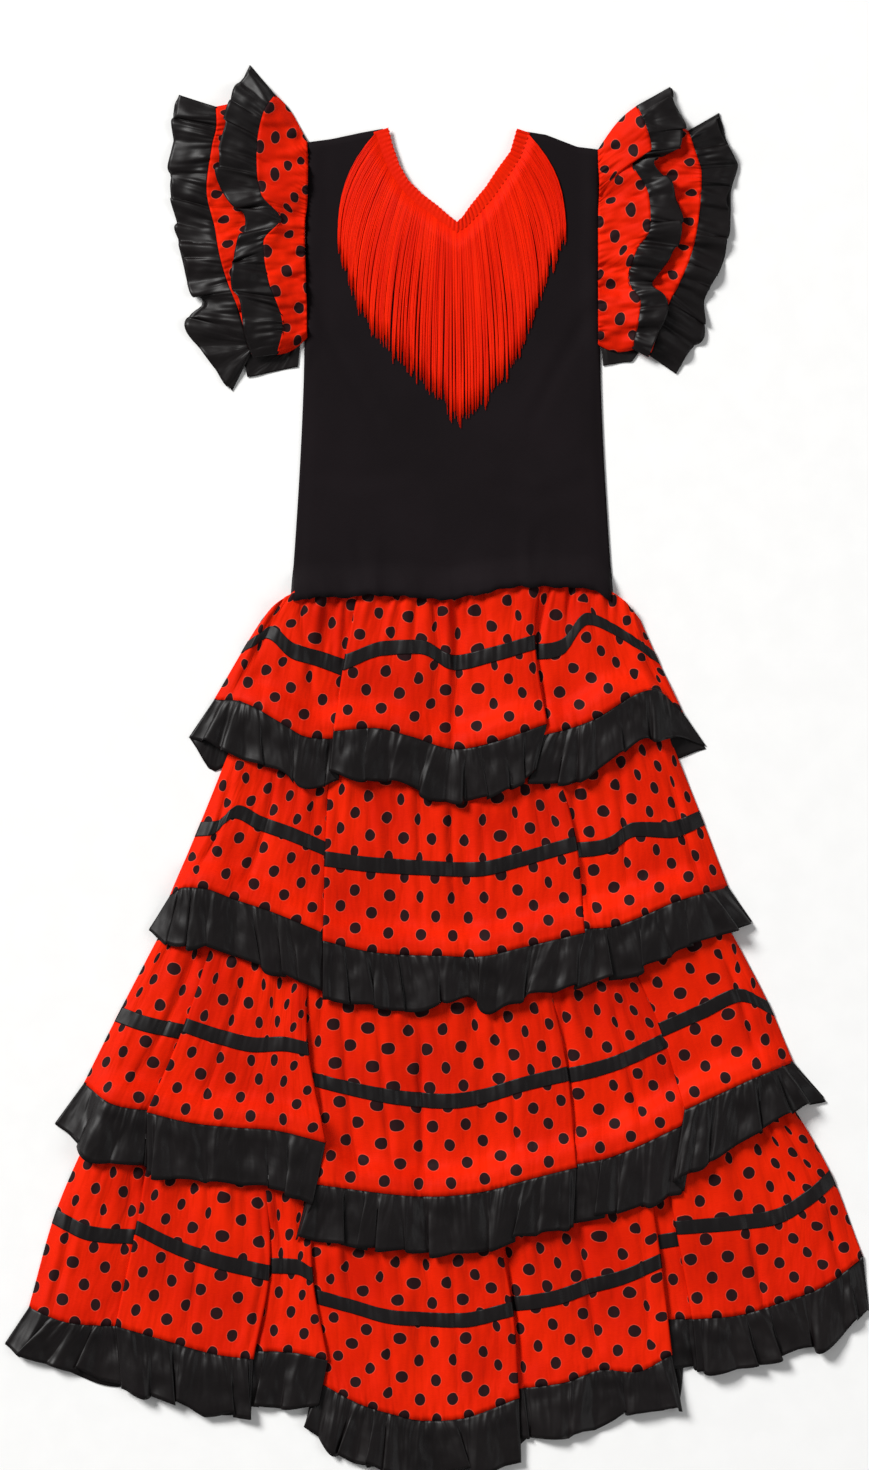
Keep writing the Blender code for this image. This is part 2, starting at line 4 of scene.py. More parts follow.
import bpy
import numpy as np
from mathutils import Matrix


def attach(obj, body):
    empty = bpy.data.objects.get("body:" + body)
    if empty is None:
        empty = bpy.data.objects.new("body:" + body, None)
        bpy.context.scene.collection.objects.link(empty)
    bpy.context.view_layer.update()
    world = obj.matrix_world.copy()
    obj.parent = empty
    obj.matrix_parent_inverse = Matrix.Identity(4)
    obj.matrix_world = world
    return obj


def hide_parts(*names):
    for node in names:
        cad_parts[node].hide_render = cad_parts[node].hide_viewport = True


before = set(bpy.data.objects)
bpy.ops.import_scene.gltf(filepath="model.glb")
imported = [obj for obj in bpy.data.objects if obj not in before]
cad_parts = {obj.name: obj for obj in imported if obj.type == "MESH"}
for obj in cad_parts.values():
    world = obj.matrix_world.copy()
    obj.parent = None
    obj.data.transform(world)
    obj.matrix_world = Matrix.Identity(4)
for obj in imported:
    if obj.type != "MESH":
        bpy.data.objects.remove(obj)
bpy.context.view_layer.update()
print("frame loaded")

# Tables and sizes are in millimetres: x to the right, y towards the neck, z up from the table.
mm = 0.001

# The view straight down, on the same frame as the photograph.
view = {"centre": (-2.5, 35.0), "height": 1470.0, "distance": 6000.0, "sensor": 24.0}


def setCamera():
    camera = bpy.data.cameras.new("photoCamera")
    camera.sensor_fit = "VERTICAL"
    camera.sensor_height = view["sensor"]
    camera.sensor_width = view["sensor"]
    camera.lens = view["sensor"] * view["distance"] / view["height"]
    camera.clip_end = 50
    holder = bpy.data.objects.new("photoCamera", camera)
    bpy.context.scene.collection.objects.link(holder)
    holder.location = (view["centre"][0] * mm, view["centre"][1] * mm, view["distance"] * mm)
    bpy.context.scene.camera = holder


lights = {
    # name: (place, size, power, colour)
    "softboxKey": ((-10.6, 9.3, 10.3), 5.6, 3960.0, (1.0, 0.995, 0.985)),
    "softboxFill": ((12.8, -1.5, 10.4), 8.0, 430.0, (0.985, 0.99, 1.0)),
}
surround = {"colour": (1.0, 1.0, 1.0, 1.0), "strength": 0.22}


def setLights():
    scene = bpy.context.scene
    scene.view_settings.view_transform = "Standard"
    world = bpy.data.worlds.new("paleRoom")
    world.use_nodes = True
    backdrop = world.node_tree.nodes["Background"]
    backdrop.inputs["Color"].default_value = surround["colour"]
    backdrop.inputs["Strength"].default_value = surround["strength"]
    scene.world = world
    for name, (place, size, power, colour) in lights.items():
        lamp = bpy.data.lights.new(name, "AREA")
        lamp.size = size
        lamp.energy = power
        lamp.color = colour
        holder = bpy.data.objects.new(name, lamp)
        scene.collection.objects.link(holder)
        holder.location = place
        x, y, z = place
        holder.rotation_euler = (math.atan2(math.hypot(x, y), z), 0, math.atan2(x, -y))


# Finishes, made of nodes. Cloth coordinates are in metres across and down the cut cloth.
dots = {"pitch": 0.0388, "radius": 0.0062, "edge": 0.0003, "ring": 0.0009, "wobble": 0.0007,
        "ink": (0.021, 0.0075, 0.0085, 1.0), "ringColour": (0.93, 0.13, 0.07, 1.0)}
# noise over the cloth: scale and detail of its patches and of its slubs, the patches' share
# of the tone, and how much rougher the worn patches are
mottle = {"patches": (9.0, 3.0), "slubs": (160.0, 2.0), "slubStretch": (1.0, 8.0, 1.0),
          "share": 0.75, "range": (0.32, 0.68), "wear": 0.08}
bumpDepth = {"threads": 0.0004, "crinkle": 0.004}
cloths = {
    "dottedCloth": {"colour": (0.80, 0.0175, 0.001), "deep": (0.60, 0.010, 0.001), "rough": 0.60,
                    "specular": 0.04, "sheen": 0.0, "thread": 0.00042, "bump": 0.05,
                    "crinkle": (0.55, 62.0, 0.32)},
    "blackSatin": {"colour": (0.0062, 0.0042, 0.0045), "deep": (0.0034, 0.0022, 0.0024),
                   "rough": 0.46, "specular": 0.25, "sheen": 0.0, "thread": 0.00030, "bump": 0.04,
                   "crinkle": (0.60, 48.0, 0.45)},
    "blackKnit": {"colour": (0.0092, 0.0062, 0.0076), "deep": (0.0066, 0.0044, 0.0054),
                  "rough": 0.85, "specular": 0.10, "sheen": 0.02, "thread": 0.00075, "bump": 0.10,
                  "crinkle": (0.12, 20.0, 0.8)},
    "fringeYarn": {"colour": (0.89, 0.019, 0.001), "deep": (0.66, 0.009, 0.001), "rough": 0.50,
                   "specular": 0.06, "sheen": 0.0, "thread": 0.0009, "bump": 0.12,
                   "crinkle": (0.05, 40.0, 1.0)},
}


class Nodes:
    # a short way to add nodes and join them in a material
    def __init__(self, name):
        self.finish = bpy.data.materials.new(name)
        self.finish.use_nodes = True
        self.tree = self.finish.node_tree
        self.shader = self.tree.nodes["Principled BSDF"]

    def add(self, kind, sources=(), **settings):
        node = self.tree.nodes.new("ShaderNode" + kind)
        for key, value in settings.items():
            setattr(node, key, value)
        for place, source in enumerate(sources):
            self.put(source, node.inputs[place])
        return node.outputs[0]

    def put(self, source, socket):
        if isinstance(source, bpy.types.NodeSocket):
            self.tree.links.new(source, socket)
        else:
            socket.default_value = source

    def maths(self, operation, *sources):
        return self.add("Math", sources, operation=operation)

    def vector(self, operation, *sources):
        return self.add("VectorMath", sources, operation=operation)

    def step(self, value, low, high):
        node = self.tree.nodes.new("ShaderNodeMapRange")
        node.interpolation_type = "SMOOTHSTEP"
        self.put(value, node.inputs["Value"])
        node.inputs["From Min"].default_value = low
        node.inputs["From Max"].default_value = high
        return node.outputs["Result"]

    def blend(self, share, first, second, kind="MIX"):
        node = self.tree.nodes.new("ShaderNodeMix")
        node.data_type = "RGBA"
        node.blend_type = kind
        for name, source in (("Factor", share), ("A", first), ("B", second)):
            socket = [s for s in node.inputs if s.name == name and s.enabled][0]
            self.put(source, socket)
        return [s for s in node.outputs if s.enabled][0]

    def noise(self, where, scale, detail):
        node = self.tree.nodes.new("ShaderNodeTexNoise")
        self.put(where, node.inputs["Vector"])
        node.inputs["Scale"].default_value = scale
        node.inputs["Detail"].default_value = detail
        return node.outputs[0]


def dotDistance(nodes, where):
    # distance in metres to the nearest dot of a staggered lattice
    grid = nodes.vector("SCALE", where)
    grid.node.inputs["Scale"].default_value = 1.0 / dots["pitch"]
    # the lean of the cloth's threads, so that the dots are round where the tiers fan out
    lean = nodes.tree.nodes.new("ShaderNodeAttribute")
    lean.attribute_name = "lean"
    near = []
    for shift in ((0.0, 0.0, 0.0), (0.5, 0.5, 0.0)):
        inCell = nodes.vector("FRACTION", nodes.vector("ADD", grid, shift))
        fromMiddle = nodes.vector("SUBTRACT", inCell, (0.5, 0.5, 0.0))
        parts = nodes.add("SeparateXYZ", [fromMiddle]).node.outputs
        across = nodes.maths("MULTIPLY_ADD", parts["Y"], lean.outputs["Fac"], parts["X"])
        squares = nodes.maths("MULTIPLY_ADD", across, across,
                              nodes.maths("MULTIPLY", parts["Y"], parts["Y"]))
        near.append(nodes.maths("SQRT", squares))
    nearest = nodes.maths("MINIMUM", near[0], near[1])
    return nodes.maths("MULTIPLY", nearest, dots["pitch"])


def makeCloth(name):
    spec = cloths[name]
    nodes = Nodes(name)
    where = nodes.tree.nodes.new("ShaderNodeUVMap")
    where.uv_map = "cloth"
    where = where.outputs[0]
    patches = nodes.noise(where, *mottle["patches"])
    slubs = nodes.noise(nodes.vector("MULTIPLY", where, mottle["slubStretch"]), *mottle["slubs"])
    tone = nodes.maths("ADD", nodes.maths("MULTIPLY", patches, mottle["share"]),
                       nodes.maths("MULTIPLY", slubs, 1 - mottle["share"]))
    tone = nodes.step(tone, *mottle["range"])
    colour = nodes.blend(tone, (*spec["deep"], 1.0), (*spec["colour"], 1.0))
    if name == "dottedCloth":
        away = dotDistance(nodes, where)
        wobble = nodes.maths("MULTIPLY", nodes.maths("SUBTRACT", slubs, 0.5), dots["wobble"])
        away = nodes.maths("ADD", away, wobble)
        ring = nodes.step(away, dots["radius"] + dots["ring"], dots["radius"])
        colour = nodes.blend(nodes.maths("MULTIPLY", ring, 0.5), colour, dots["ringColour"])
        ink = nodes.step(away, dots["radius"] + dots["edge"], dots["radius"] - dots["edge"])
        colour = nodes.blend(ink, colour, dots["ink"])
    nodes.put(colour, nodes.shader.inputs["Base Color"])
    # threads over and under each other
    spread = nodes.add("SeparateXYZ", [where]).node.outputs
    over = [nodes.maths("SINE", nodes.maths("MULTIPLY", spread[axis],
                                            0.5 * math.pi / spec["thread"]))
            for axis in ("X", "Y")]
    weave = nodes.maths("MULTIPLY", *over)
    height = nodes.maths("ADD", nodes.maths("MULTIPLY", weave, 0.5),
                         nodes.maths("MULTIPLY", slubs, 0.8))
    bump = nodes.tree.nodes.new("ShaderNodeBump")
    bump.inputs["Strength"].default_value = spec["bump"]
    bump.inputs["Distance"].default_value = bumpDepth["threads"]
    nodes.put(height, bump.inputs["Height"])
    # small creases, longer down the cloth than across it
    strength, scale, stretch = spec["crinkle"]
    crinkle = nodes.tree.nodes.new("ShaderNodeBump")
    crinkle.inputs["Strength"].default_value = strength
    crinkle.inputs["Distance"].default_value = bumpDepth["crinkle"]
    nodes.put(nodes.noise(nodes.vector("MULTIPLY", where, (1.0, stretch, 1.0)), scale, 2.0),
              crinkle.inputs["Height"])
    nodes.put(crinkle.outputs[0], bump.inputs["Normal"])
    nodes.put(bump.outputs[0], nodes.shader.inputs["Normal"])
    worn = nodes.maths("MULTIPLY_ADD", patches, mottle["wear"],
                       spec["rough"] - 0.5 * mottle["wear"])
    nodes.put(worn, nodes.shader.inputs["Roughness"])
    nodes.shader.inputs["Metallic"].default_value = 0.0
    nodes.shader.inputs["Specular IOR Level"].default_value = spec["specular"]
    nodes.shader.inputs["Sheen Weight"].default_value = spec["sheen"]
    nodes.shader.inputs["Sheen Roughness"].default_value = 0.4
    return nodes.finish


tableTop = {"side": 9.0, "height": -0.0002}


def makeFloor():
    nodes = Nodes("paleTable")
    where = nodes.tree.nodes.new("ShaderNodeTexCoord").outputs["Object"]
    grain = nodes.step(nodes.noise(where, 30.0, 4.0), 0.3, 0.7)
    colour = nodes.blend(grain, (0.93, 0.93, 0.925, 1.0), (0.95, 0.95, 0.945, 1.0))
    nodes.put(colour, nodes.shader.inputs["Base Color"])
    nodes.shader.inputs["Roughness"].default_value = 0.9
    nodes.shader.inputs["Specular IOR Level"].default_value = 0.1
    mesh = bpy.data.meshes.new("paleTable")
    corners = [(x * tableTop["side"], y * tableTop["side"], tableTop["height"])
               for x, y in ((-1, -1), (1, -1), (1, 1), (-1, 1))]
    mesh.from_pydata(corners, [], [(0, 1, 2, 3)])
    mesh.materials.append(nodes.finish)
    floor = bpy.data.objects.new("paleTable", mesh)
    bpy.context.scene.collection.objects.link(floor)


setCamera()
setLights()
makeFloor()
finishes = {name: makeCloth(name) for name in cloths}
print("camera, lights and finishes made")

# The height of what is laid already, cell by cell, so that each new piece lies on it.
laid = {"low": (-460.0, -735.0), "cells": (920, 1470), "gap": 0.3, "top": 22.5,
        "leastRoom": 3.5, "smoothing": (9, 6, 5)}
laid["height"] = np.zeros(laid["cells"])


def highestWithin(height, reach):
    for axis in (0, 1):
        grown = height.copy()
        for shift in range(1, reach + 1):
            grown = np.maximum(grown, np.roll(height, shift, axis))
            grown = np.maximum(grown, np.roll(height, -shift, axis))
        height = grown
    return height


def meanWithin(height, reach):
    for axis in (0, 1):
        total = height.copy()
        for shift in range(1, reach + 1):
            total += np.roll(height, shift, axis) + np.roll(height, -shift, axis)
        height = total / (2 * reach + 1)
    return height


def cellOf(x, y):
    i = np.clip((x - laid["low"][0]).astype(int), 0, laid["cells"][0] - 1)
    j = np.clip((y - laid["low"][1]).astype(int), 0, laid["cells"][1] - 1)
    return i, j


def readMap(field, x, y):
    gx = np.clip(x - laid["low"][0] - 0.5, 0, laid["cells"][0] - 1.001)
    gy = np.clip(y - laid["low"][1] - 0.5, 0, laid["cells"][1] - 1.001)
    i, j = gx.astype(int), gy.astype(int)
    a, b = gx - i, gy - j
    return ((field[i, j] * (1 - a) + field[i + 1, j] * a) * (1 - b)
            + (field[i, j + 1] * (1 - a) + field[i + 1, j + 1] * a) * b)


def heightUnder(field, points):
    return readMap(field, points[..., 0], points[..., 1])


def restingMap():
    highest, first, second = laid["smoothing"]
    smooth = meanWithin(meanWithin(highestWithin(laid["height"], highest), first), second)
    return smooth + laid["gap"] * np.clip(smooth / laid["gap"], 0, 1)


def withinRoom(free, floor, most):
    # folds stand less high where the layers below are high already
    most = np.clip(laid["top"] - floor, laid["leastRoom"], most)
    return most * np.tanh(free / most)


def remember(points):
    # raise the map to the top of a piece, read between its points too
    for a in np.arange(0, 1, 0.25):
        edge = points[:, :-1] * (1 - a) + points[:, 1:] * a
        for b in np.arange(0, 1, 0.125):
            inner = edge[:-1] * (1 - b) + edge[1:] * b
            i, j = cellOf(inner[..., 0], inner[..., 1])
            np.maximum.at(laid["height"], (i, j), inner[..., 2])


def unit(vectors):
    return vectors / np.maximum(np.linalg.norm(vectors, axis=-1, keepdims=True), 1e-9)


def lengthAlong(points):
    # the length of a line up to each of its points
    return np.concatenate([[0], np.cumsum(np.linalg.norm(np.diff(points, axis=0), axis=1))])


def facing(points):
    down = np.gradient(points, axis=0)
    across = np.gradient(points, axis=1)
    out = unit(np.cross(across, down))
    return out if out[..., 2].sum() > 0 else -out


def shellFaces(rows, columns, first=0):
    # the faces of a wall: its upper points, then as many under them, and the rim between
    count = rows * columns
    index = np.arange(count).reshape(rows, columns) + first
    a, b, c, d = index[:-1, :-1], index[:-1, 1:], index[1:, 1:], index[1:, :-1]
    top = np.stack([a, d, c, b], axis=-1).reshape(-1, 4)
    ring = np.concatenate([index[0, :-1], index[:-1, -1], index[-1, :0:-1], index[:0:-1, 0]])
    ahead = np.roll(ring, -1)
    rim = np.stack([ring, ahead, ahead + count, ring + count], axis=-1)
    return np.concatenate([top, top[:, ::-1] + count, rim])


def makeMesh(name, corners, faces, flat, cloth, lean=None):
    # corners and the cloth's flat coordinates are in millimetres
    mesh = bpy.data.meshes.new(name)
    mesh.from_pydata((corners * mm).tolist(), [], faces.tolist())
    layer = mesh.uv_layers.new(name="cloth")
    loops = np.empty(len(mesh.loops), dtype=int)
    mesh.loops.foreach_get("vertex_index", loops)
    layer.data.foreach_set("uv", (flat * mm)[loops].reshape(-1))
    if lean is not None:
        leaning = mesh.attributes.new("lean", "FLOAT", "POINT")
        leaning.data.foreach_set("value", np.concatenate([lean, lean]).reshape(-1))
    mesh.polygons.foreach_set("use_smooth", [True] * len(mesh.polygons))
    mesh.materials.append(finishes[cloth])
    mesh.validate()
    piece = bpy.data.objects.new(name, mesh)
    bpy.context.scene.collection.objects.link(piece)
    return piece


def makeShell(name, points, cloth, uv, thick, lean=None):
    # points are the underside, in rows and columns; the upper side is one wall above it
    points[..., 2] = np.maximum(points[..., 2], 0)
    upper = points + facing(points) * thick
    upper[..., 2] = np.maximum(upper[..., 2], 0.05)
    corners = np.concatenate([upper.reshape(-1, 3), points.reshape(-1, 3)])
    faces = shellFaces(*points.shape[:2])
    start, one, two = corners[faces[0, :3]]
    if np.cross(one - start, two - start)[2] < 0:
        faces = faces[:, ::-1]
    flat = np.concatenate([uv.reshape(-1, 2), uv.reshape(-1, 2)])
    piece = makeMesh(name, corners, faces, flat, cloth, lean)
    remember(upper)
    return piece


def declare(piece, node):
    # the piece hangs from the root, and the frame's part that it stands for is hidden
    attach(piece, "root")
    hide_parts(node)


def ease(share):
    return 0.5 - 0.5 * np.cos(np.pi * np.clip(share, 0, 1))


def cubic(t, gap, start, slopeA, end, slopeB):
    return ((2 * t**3 - 3 * t**2 + 1) * start + (t**3 - 2 * t**2 + t) * gap * slopeA
            + (3 * t**2 - 2 * t**3) * end + (t**3 - t**2) * gap * slopeB)


def downAtSides(height, sides, width, low):
    # the piece comes down to low beside its two side folds
    near = ease(sides / width)
    return height * near + low * (1 - near)


def smoothLine(places, values, at):
    # a smooth line through the table's values that doesn't swing past them
    places, values = np.asarray(places, float), np.asarray(values, float)
    slopes = np.diff(values, axis=0) / np.diff(places)[:, None]
    inner = 0.5 * (slopes[1:] + slopes[:-1])
    limit = 3 * np.minimum(abs(slopes[1:]), abs(slopes[:-1]))
    inner = np.where(slopes[1:] * slopes[:-1] <= 0, inner * 0.25, np.clip(inner, -limit, limit))
    tangents = np.vstack([slopes[:1], inner, slopes[-1:]])
    k = np.clip(np.searchsorted(places, at, side="right") - 1, 0, len(places) - 2)
    gap = (places[k + 1] - places[k])[:, None]
    t = ((at - places[k])[:, None]) / gap
    return cubic(t, gap, values[k], tangents[k], values[k + 1], tangents[k + 1])


def softNoise(x, y, cell, seed):
    # a smooth uneven field from -1 to 1
    chance = np.random.default_rng(seed)
    table = chance.uniform(-1, 1, (64, 64))
    gx, gy = x / cell + 100.37, y / cell + 100.71
    i, j = np.floor(gx).astype(int), np.floor(gy).astype(int)
    a, b = gx - i, gy - j
    a, b = a * a * (3 - 2 * a), b * b * (3 - 2 * b)
    i0, i1, j0, j1 = i % 64, (i + 1) % 64, j % 64, (j + 1) % 64
    return ((table[i0, j0] * (1 - a) + table[i1, j0] * a) * (1 - b)
            + (table[i0, j1] * (1 - a) + table[i1, j1] * a) * b)


def gathers(u, v, edge, seed, spacing, height, width, reach, spread=0.05, fall=1.5):
    # short ridges that start at a gathered edge and fade away from it
    chance = random.Random(seed)
    relief = np.zeros(np.broadcast(u, v).shape)
    place = u.min() + chance.uniform(0, spacing[0])
    away = np.abs(v - edge)
    while place < u.max():
        tall = chance.uniform(*height)
        wide = chance.uniform(*width)
        length = reach[0] + (reach[1] - reach[0]) * chance.random() ** 2
        lean = chance.uniform(-0.12, 0.12)
        near = np.abs(u - place) < 4 * (wide + spread * length) + 0.15 * length
        fade = np.clip(1 - away / length, 0, 1) ** fall
        gap = (u - place - lean * away) / (wide + spread * away)
        relief += np.where(near & (fade > 0), tall * fade * np.exp(-gap * gap), 0)
        place += chance.uniform(*spacing)
    return relief


def creaseRelief(x, y, creases):
    # creases, as listed: depth, width, and the points that each runs through
    relief = np.zeros(x.shape)
    for depth, width, line in creases:
        best = np.full(x.shape, 1e9)
        side = np.zeros(x.shape)
        total = sum(math.dist(a, b) for a, b in zip(line, line[1:]))
        along = np.zeros(x.shape)
        run = 0.0
        for (ax, ay), (bx, by) in zip(line, line[1:]):
            long = math.dist((ax, ay), (bx, by))
            dx, dy = (bx - ax) / long, (by - ay) / long
            t = np.clip((x - ax) * dx + (y - ay) * dy, 0, long)
            off = np.hypot(x - ax - t * dx, y - ay - t * dy)
            closer = off < best
            best = np.where(closer, off, best)
            side = np.where(closer, np.sign((x - ax) * dy - (y - ay) * dx), side)
            along = np.where(closer, (run + t) / total, along)
            run += long
        fade = np.sin(np.pi * np.clip(0.08 + 0.84 * along, 0, 1)) ** 0.6
        gap = side * best / width
        relief += depth * fade * (-np.exp(-gap**2) + 0.7 * np.exp(-((gap - 1.5) / 1.1)**2)
                                  + 0.35 * np.exp(-((gap + 1.6) / 1.2)**2))
    return relief


def meanRows(field, reach):
    # each row's running mean
    padded = np.pad(field, ((0, 0), (reach, reach)), mode="edge")
    total = np.cumsum(np.pad(padded, ((0, 0), (1, 0))), axis=1)
    return (total[:, 2 * reach + 1:] - total[:, :-2 * reach - 1]) / (2 * reach + 1)


def clothPlaces(points, width, valley=None, phase=(0.0, 0.0)):
    # where each point was on the flat cloth, up from its last edge; the cloth is closer
    # together in the valleys
    last = meanRows(np.linalg.norm(np.diff(points[-1:], axis=1), axis=2), 2)[0]
    run = np.concatenate([[0], np.cumsum(last)])
    u = np.repeat((run / run[-1] * width)[None, :], len(points), axis=0)
    down = downLengths(points)
    v = np.concatenate([np.zeros((1, points.shape[1])), np.cumsum(down, axis=0)], axis=0)
    v = v[-1:] - v
    if valley is not None:
        extra = np.cumsum(np.gradient(u, axis=1) * valley, axis=1)
        u = u + extra - meanRows(extra, 12)
    return np.stack([u + phase[0], v + phase[1]], axis=-1)


def threadLean(points, uv, plain=None):
    # how far the crosswise thread is from square to the lengthwise one
    flat = points[..., :2]
    across, down = np.gradient(flat, axis=1), np.gradient(flat, axis=0)
    u, v = np.gradient(meanRows(uv[..., 0], 10), axis=1), np.gradient(uv[..., 1], axis=0)
    slant = np.gradient(meanRows(uv[..., 1], 10), axis=1)
    u = np.maximum(u, 0.3)
    v = np.minimum(v, -0.3)
    alongU = (across * v[..., None] - down * slant[..., None]) / (u * v)[..., None]
    alongV = down / v[..., None]
    lean = (alongU * alongV).sum(axis=2) / np.maximum((alongU**2).sum(axis=2), 0.2)
    lean = meanRows(np.clip(lean, -0.9, 0.9), 5)
    return lean if plain is None else lean * (plain > 0)[None, :]


def downLengths(points):
    # the cloth's length down each column; a steep climb over an edge below adds little
    down = np.diff(points, axis=0)
    down = np.minimum(np.linalg.norm(down, axis=2), 1.1 * np.linalg.norm(down[..., :2], axis=2))
    return meanRows(down, 8)


leastLaid = 0.74    # of the flat cloth's area, in the laid piece


def cutWidth(points, fullness, puffed=1.0):
    # the flat width: the last edge's length and what its gathers take up, as far as the
    # area of the laid cloth allows
    across, down = np.diff(points, axis=1)[:-1], np.diff(points, axis=0)[:, :-1]
    area = np.linalg.norm(np.cross(across, down), axis=2).sum()
    last = np.linalg.norm(np.diff(points[-1], axis=0), axis=1).sum()
    long = downLengths(points).sum(axis=0).mean() * puffed
    return float(min(fullness * last, area / (leastLaid * long)))


